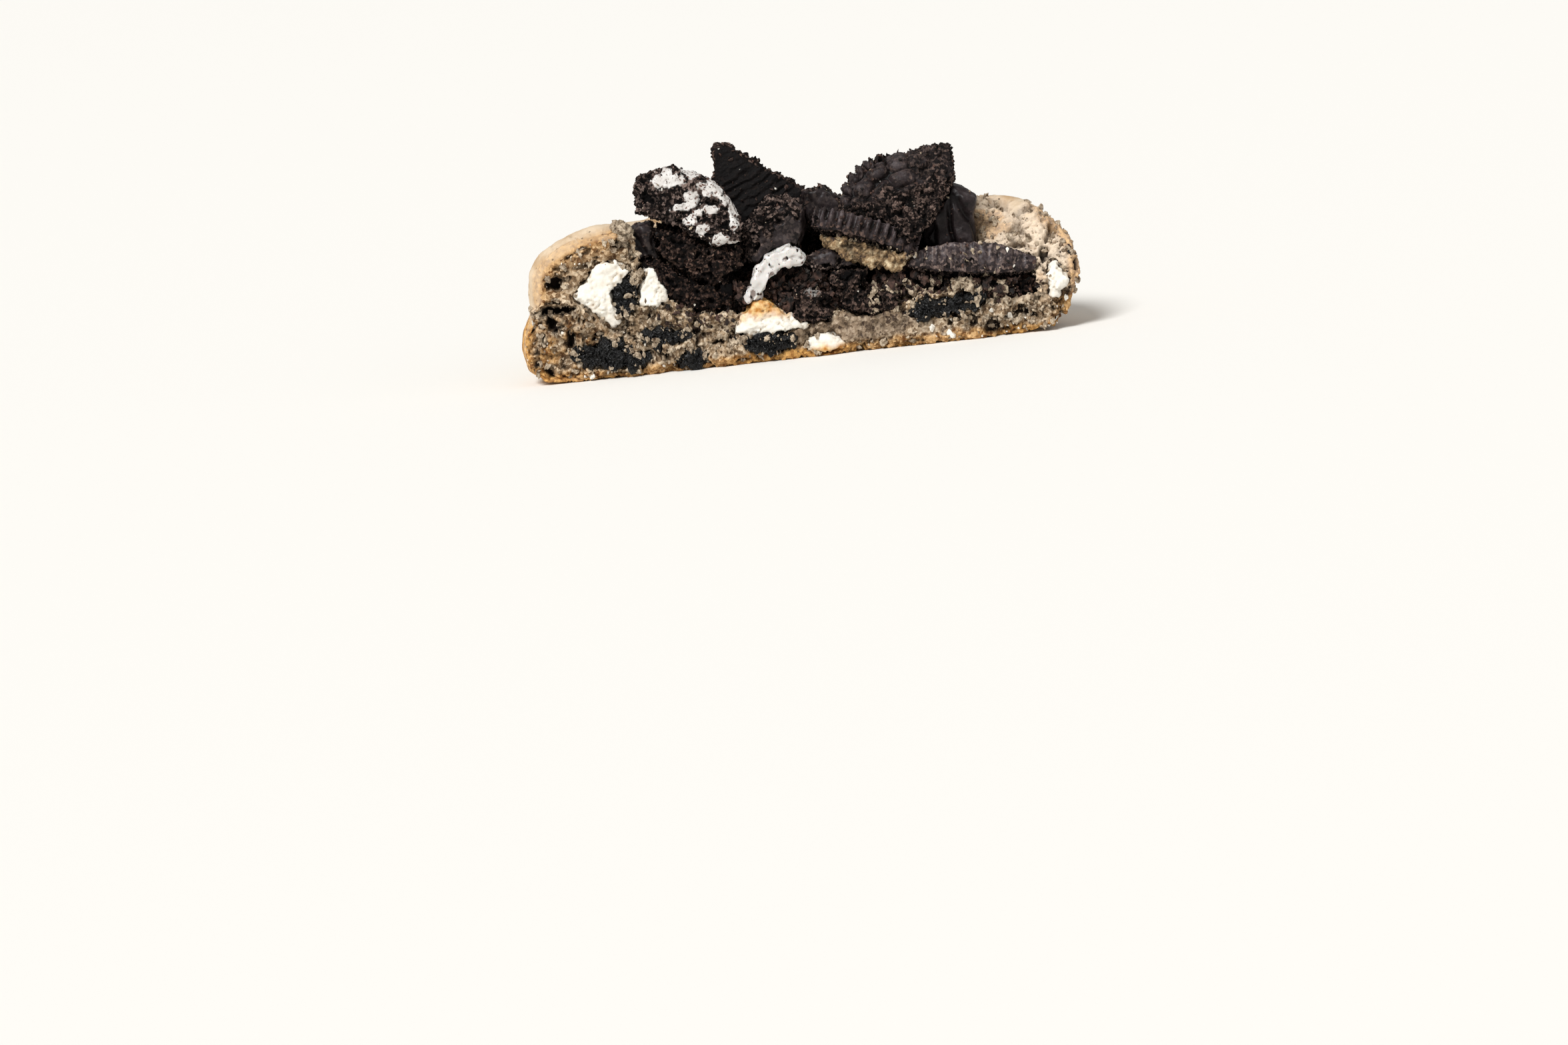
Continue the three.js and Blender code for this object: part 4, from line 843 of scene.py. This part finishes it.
def strew(name, material, slot, seed, layers):
    """Lays crumbs on pieces. A layer is (pieces, count, wanted, smallest mm, largest mm)."""
    dice = random.Random(seed)
    small_shapes, large_shapes = nuggets(seed, 1), nuggets(seed + 1, 2)
    heap = bmesh.new()
    for pieces, count, wanted, small, large in layers:
        for centre, outward in spots(pieces, count, wanted, dice):
            size = small + (large - small) * dice.random() ** 2.6
            centre.z = max(centre.z, 0.8 * size * MM)
            turn = Euler([dice.uniform(0, 6.3) for _ in range(3)]).to_matrix().to_4x4()
            middle = centre + outward * (0.16 * size * MM)
            put_at = Matrix.Translation(middle) @ turn @ Matrix.Scale(0.55 * size * MM, 4)
            shape = dice.choice(large_shapes if size > 0.85 else small_shapes)
            shape.transform(put_at)
            heap.from_mesh(shape)
            shape.transform(put_at.inverted())
    mesh = bpy.data.meshes.new(name)
    heap.to_mesh(mesh)
    heap.free()
    piece = bpy.data.objects.new(name, mesh)
    bpy.context.collection.objects.link(piece)
    finish(piece, material, slot)


# Loose crumbs of dough: dry, dull and light tan, some golden from the skin.
dough_crumbs, tree, place, _, shader = start("dry dough crumbs")
patch = put(tree, "TexNoise", {"Vector": place, "Scale": 1 / (0.9 * MM), "Detail": 5, "Roughness": 0.65})
tan = put(tree, "ValToRGB", {"Fac": patch.outputs["Fac"]})
for stop, code, at in ((0, "#5d4630", 0.35), (1, "#dccab0", 0.66)):
    tan.color_ramp.elements[stop].color = srgb(code)
    tan.color_ramp.elements[stop].position = at
fine = put(tree, "TexNoise", {"Vector": place, "Scale": 1 / (0.4 * MM), "Detail": 4, "Roughness": 0.65})
bump = put(tree, "Bump", {"Height": fine.outputs["Fac"], "Strength": 0.9, "Distance": 0.35 * MM})
wire(tree, shader, {"Base Color": tan.outputs[0], "Normal": bump.outputs[0], "Roughness": 0.9})

# Loose crumbs of cocoa biscuit: dull, from black to red-brown.
cocoa_crumbs, tree, place, _, shader = start("dry cocoa crumbs")
patch = put(tree, "TexNoise", {"Vector": place, "Scale": 1 / (1.2 * MM), "Detail": 3})
brown = put(tree, "ValToRGB", {"Fac": patch.outputs["Fac"]})
for stop, code, at in ((0, "#0c0705", 0.38), (1, "#5a3f34", 0.74)):
    brown.color_ramp.elements[stop].color = srgb(code)
    brown.color_ramp.elements[stop].position = at
fine = put(tree, "TexNoise", {"Vector": place, "Scale": 1 / (0.3 * MM), "Detail": 3})
bump = put(tree, "Bump", {"Height": fine.outputs["Fac"], "Strength": 0.6, "Distance": 0.2 * MM})
wire(tree, shader, {"Base Color": brown.outputs[0], "Normal": bump.outputs[0], "Roughness": 0.85})


def on_torn_dough(at, outward, look):
    """All over the tear, but hardly where it turns round the right end."""
    torn = look[0] * on_face(at) * (1 - 0.85 * look[3]) * fade(0.5, 1.2, at.z)
    return torn * (1 - 0.85 * fade(0.3, 0.7, outward.x))


def on_dough_rubble(at, outward, look):
    """The torn wall of the crater, behind the cut."""
    return look[0] * in_crater(at) * fade(12, 14, at.z) * (1 - on_face(at))


def on_soaked_dough(at, outward, look):
    """The dough under the bed, up to where the pale crumb of the right end begins."""
    lies = fade(-26, -20, at.x) * (1 - 0.9 * fade(32, 36, at.x))
    lies = lies * fade(4.5, 8.5, at.z) * (1 - fade(12, 15, at.z))
    return look[0] * on_face(at) * lies


def under_the_ridges(at, outward, look):
    """The strip under the right ridged piece, where dough crumb is mixed with the biscuit."""
    lies = fade(9, 13, at.x) * (1 - fade(31, 35, at.x)) * (1 - fade(9.8, 11.4, at.z))
    return lies * fade(0, 0.5, -outward.y) * fade(-0.1, 0.2, noise.noise(at / 2.3))


def under_the_rim(at, outward, look):
    """The foot of the middle ridged piece, where dough crumb stuck to it."""
    foot = 1 - fade(19.6, 20.4, at.z + 0.31 * (at.x - 5.3) + 0.6 * noise.noise(at / 1.5))
    return foot * fade(-0.2, 0.4, -outward.y)


def on_sunk(at, outward, look):
    """Scraps of dough that stayed on the sunk biscuits when the cookie was pulled apart."""
    return fade(0, 0.5, -outward.y) * fade(0.12, 0.35, noise.noise(at / 2.1))


def upward(at, outward, look):
    return fade(-0.1, 0.7, outward.z)


def frontward(at, outward, look):
    return fade(0.1, 0.7, -outward.y)


def frontward_of_gaps(at, outward, look):
    return frontward(at, outward, look) * (1 - 0.9 * look[1])


dough_corners = kdtree.KDTree(len(dough.data.vertices))
for number, corner in enumerate(dough.data.vertices):
    dough_corners.insert(corner.co, number)
dough_corners.balance()


def by_the_dough(at, outward, look):
    """The edge of a chunk, where dough crumbs still cling to it."""
    return (1 - fade(0.3, 0.9, dough_corners.find(at * MM)[2] / MM)) * fade(0, 0.5, -outward.y)


def by_the_left_piece(at, outward, look):
    """The edge of the crater at the left, where a scrap of dough stands up."""
    return 1 - fade(1.4, 2.6, (at - Vector((-27.6, CUT + 2.4, 24.4))).length)


def at_the_right_foot(at, outward, look):
    return on_face(at) * fade(14, 24, at.x) * (1 - fade(4, 7, at.z))


def on_the_left_tear(at, outward, look):
    return look[0] * on_face(at) * (1 - fade(-30, -14, at.x))


strew("dough_crumbs_loose", dough_crumbs, "dough", 3, [
    ([dough], 36, by_the_left_piece, 0.9, 2.2),
    ([dough], 900, on_torn_dough, 0.3, 1.4),
    (chunks + sunk, 700, by_the_dough, 0.3, 1.3),
    (sunk, 210, on_sunk, 0.3, 1.5),
    ([dough], 420, on_dough_rubble, 0.4, 1.8),
    ([bed, lump], 300, under_the_ridges, 0.4, 2.0),
    (list(broken.values()), 110, upward, 0.25, 0.7),
    ([bed, lump, broken["crumb_piece_right"], broken["crumb_piece_low"]], 90, frontward, 0.25, 0.8),
    ([broken["crumb_piece_right"]], 70, under_the_ridges, 0.4, 1.4),
    ([broken["edge_piece_right"]], 44, frontward, 0.3, 1.0),
    ([broken["edge_piece_middle"]], 260, under_the_rim, 0.4, 1.3),
])
strew("cocoa_crumbs_on_bed", cocoa_crumbs, "crumbs", 5, [
    ([bed, lump], 1300, frontward_of_gaps, 0.3, 1.8),
    ([bed], 900, upward, 0.4, 2.2),
])
strew("cocoa_crumbs_on_pieces", cocoa_crumbs, "crumbs", 6, [
    (list(broken.values()), 1500, upward, 0.2, 0.8),
    (list(broken.values()), 600, frontward, 0.2, 0.8),
    ([strand], 30, frontward, 0.15, 0.6),
    ([dough], 330, on_soaked_dough, 0.25, 1.1),
])
strew("white_chips_loose", white_chocolate, "white_chocolate", 7, [
    ([dough], 30, at_the_right_foot, 0.4, 1.9),
    ([dough], 40, on_the_left_tear, 0.3, 1.0),
    ([*broken.values(), strand, bed], 60, frontward, 0.2, 0.7),
])

# ------------------------------------------------------------------------------------ floor and light
# A sheet of warm white card under large soft lamps, as the picture was taken: the key light from the
# upper left, a weak fill from the right and even light from all round.

floor_mesh = bmesh.new()
bmesh.ops.create_grid(floor_mesh, x_segments=1, y_segments=1, size=4)
sheet = bpy.data.meshes.new("floor")
floor_mesh.to_mesh(sheet)
floor_mesh.free()
floor = bpy.data.objects.new("floor", sheet)
bpy.context.collection.objects.link(floor)
card, tree, _, _, shader = start("warm white card")
wire(tree, shader, {"Base Color": srgb("#f6f4ef"), "Roughness": 0.9})
floor.data.materials.append(card)

world = bpy.data.worlds.new("studio")
world.use_nodes = True
tree = world.node_tree
wire(tree, tree.nodes["Background"], {"Color": srgb("#fbfaf7"), "Strength": 0.34})
bpy.context.scene.world = world


def lamp(name, azimuth, height, strength, spread):
    """A far lamp `spread` degrees wide, `azimuth` degrees from the front towards the right and `height`
    degrees above the horizon."""
    light = bpy.data.lights.new(name, "SUN")
    light.energy, light.angle = strength, math.radians(spread)
    made = bpy.data.objects.new(name, light)
    a, e = math.radians(azimuth), math.radians(height)
    way = Vector((math.sin(a) * math.cos(e), -math.cos(a) * math.cos(e), math.sin(e)))
    made.rotation_euler = way.to_track_quat("Z", "Y").to_euler()
    bpy.context.collection.objects.link(made)


lamp("key", -34, 48, 3.05, 24)
lamp("fill", 50, 30, 0.35, 60)

# ------------------------------------------------------------------------------------ camera
# A long lens, held a little above the cookie and rolled so that the right end stands higher. It shows
# the cut as large as the picture does, and in the same place.

WIDE, TALL = 2352, 1568  # the picture, in pixels
FOOT_X, FOOT_Y = 1198, 539  # the middle of the cut's foot in it, from the left and from the top
PIXELS = 9.0  # for each millimetre at the cut
ROLL, DIP, LENS, SENSOR = math.radians(6.3), math.radians(8), 100, 36
picture = bpy.data.cameras.new("picture")
picture.lens, picture.sensor_width = LENS, SENSOR
far = WIDE / PIXELS * MM * LENS / SENSOR  # from the lens to the cut
off_x, off_y = (FOOT_X - WIDE / 2) / PIXELS * MM, (TALL / 2 - FOOT_Y) / PIXELS * MM
dip = DIP + math.atan(off_y / far)
ahead = Vector((0, math.cos(dip), -math.sin(dip)))
level, upright = Vector((1, 0, 0)), Vector((0, math.sin(dip), math.cos(dip)))
right = math.cos(ROLL) * level - math.sin(ROLL) * upright
up = math.sin(ROLL) * level + math.cos(ROLL) * upright
camera = bpy.data.objects.new("camera", picture)
turn = Matrix((right, up, -ahead)).transposed().to_4x4()
foot = Vector((MIDDLE, CUT, 0)) * MM
camera.matrix_world = Matrix.Translation(foot - ahead * far - right * off_x - up * off_y) @ turn
bpy.context.collection.objects.link(camera)
bpy.context.scene.camera = camera
bpy.context.scene.view_settings.view_transform = "Standard"
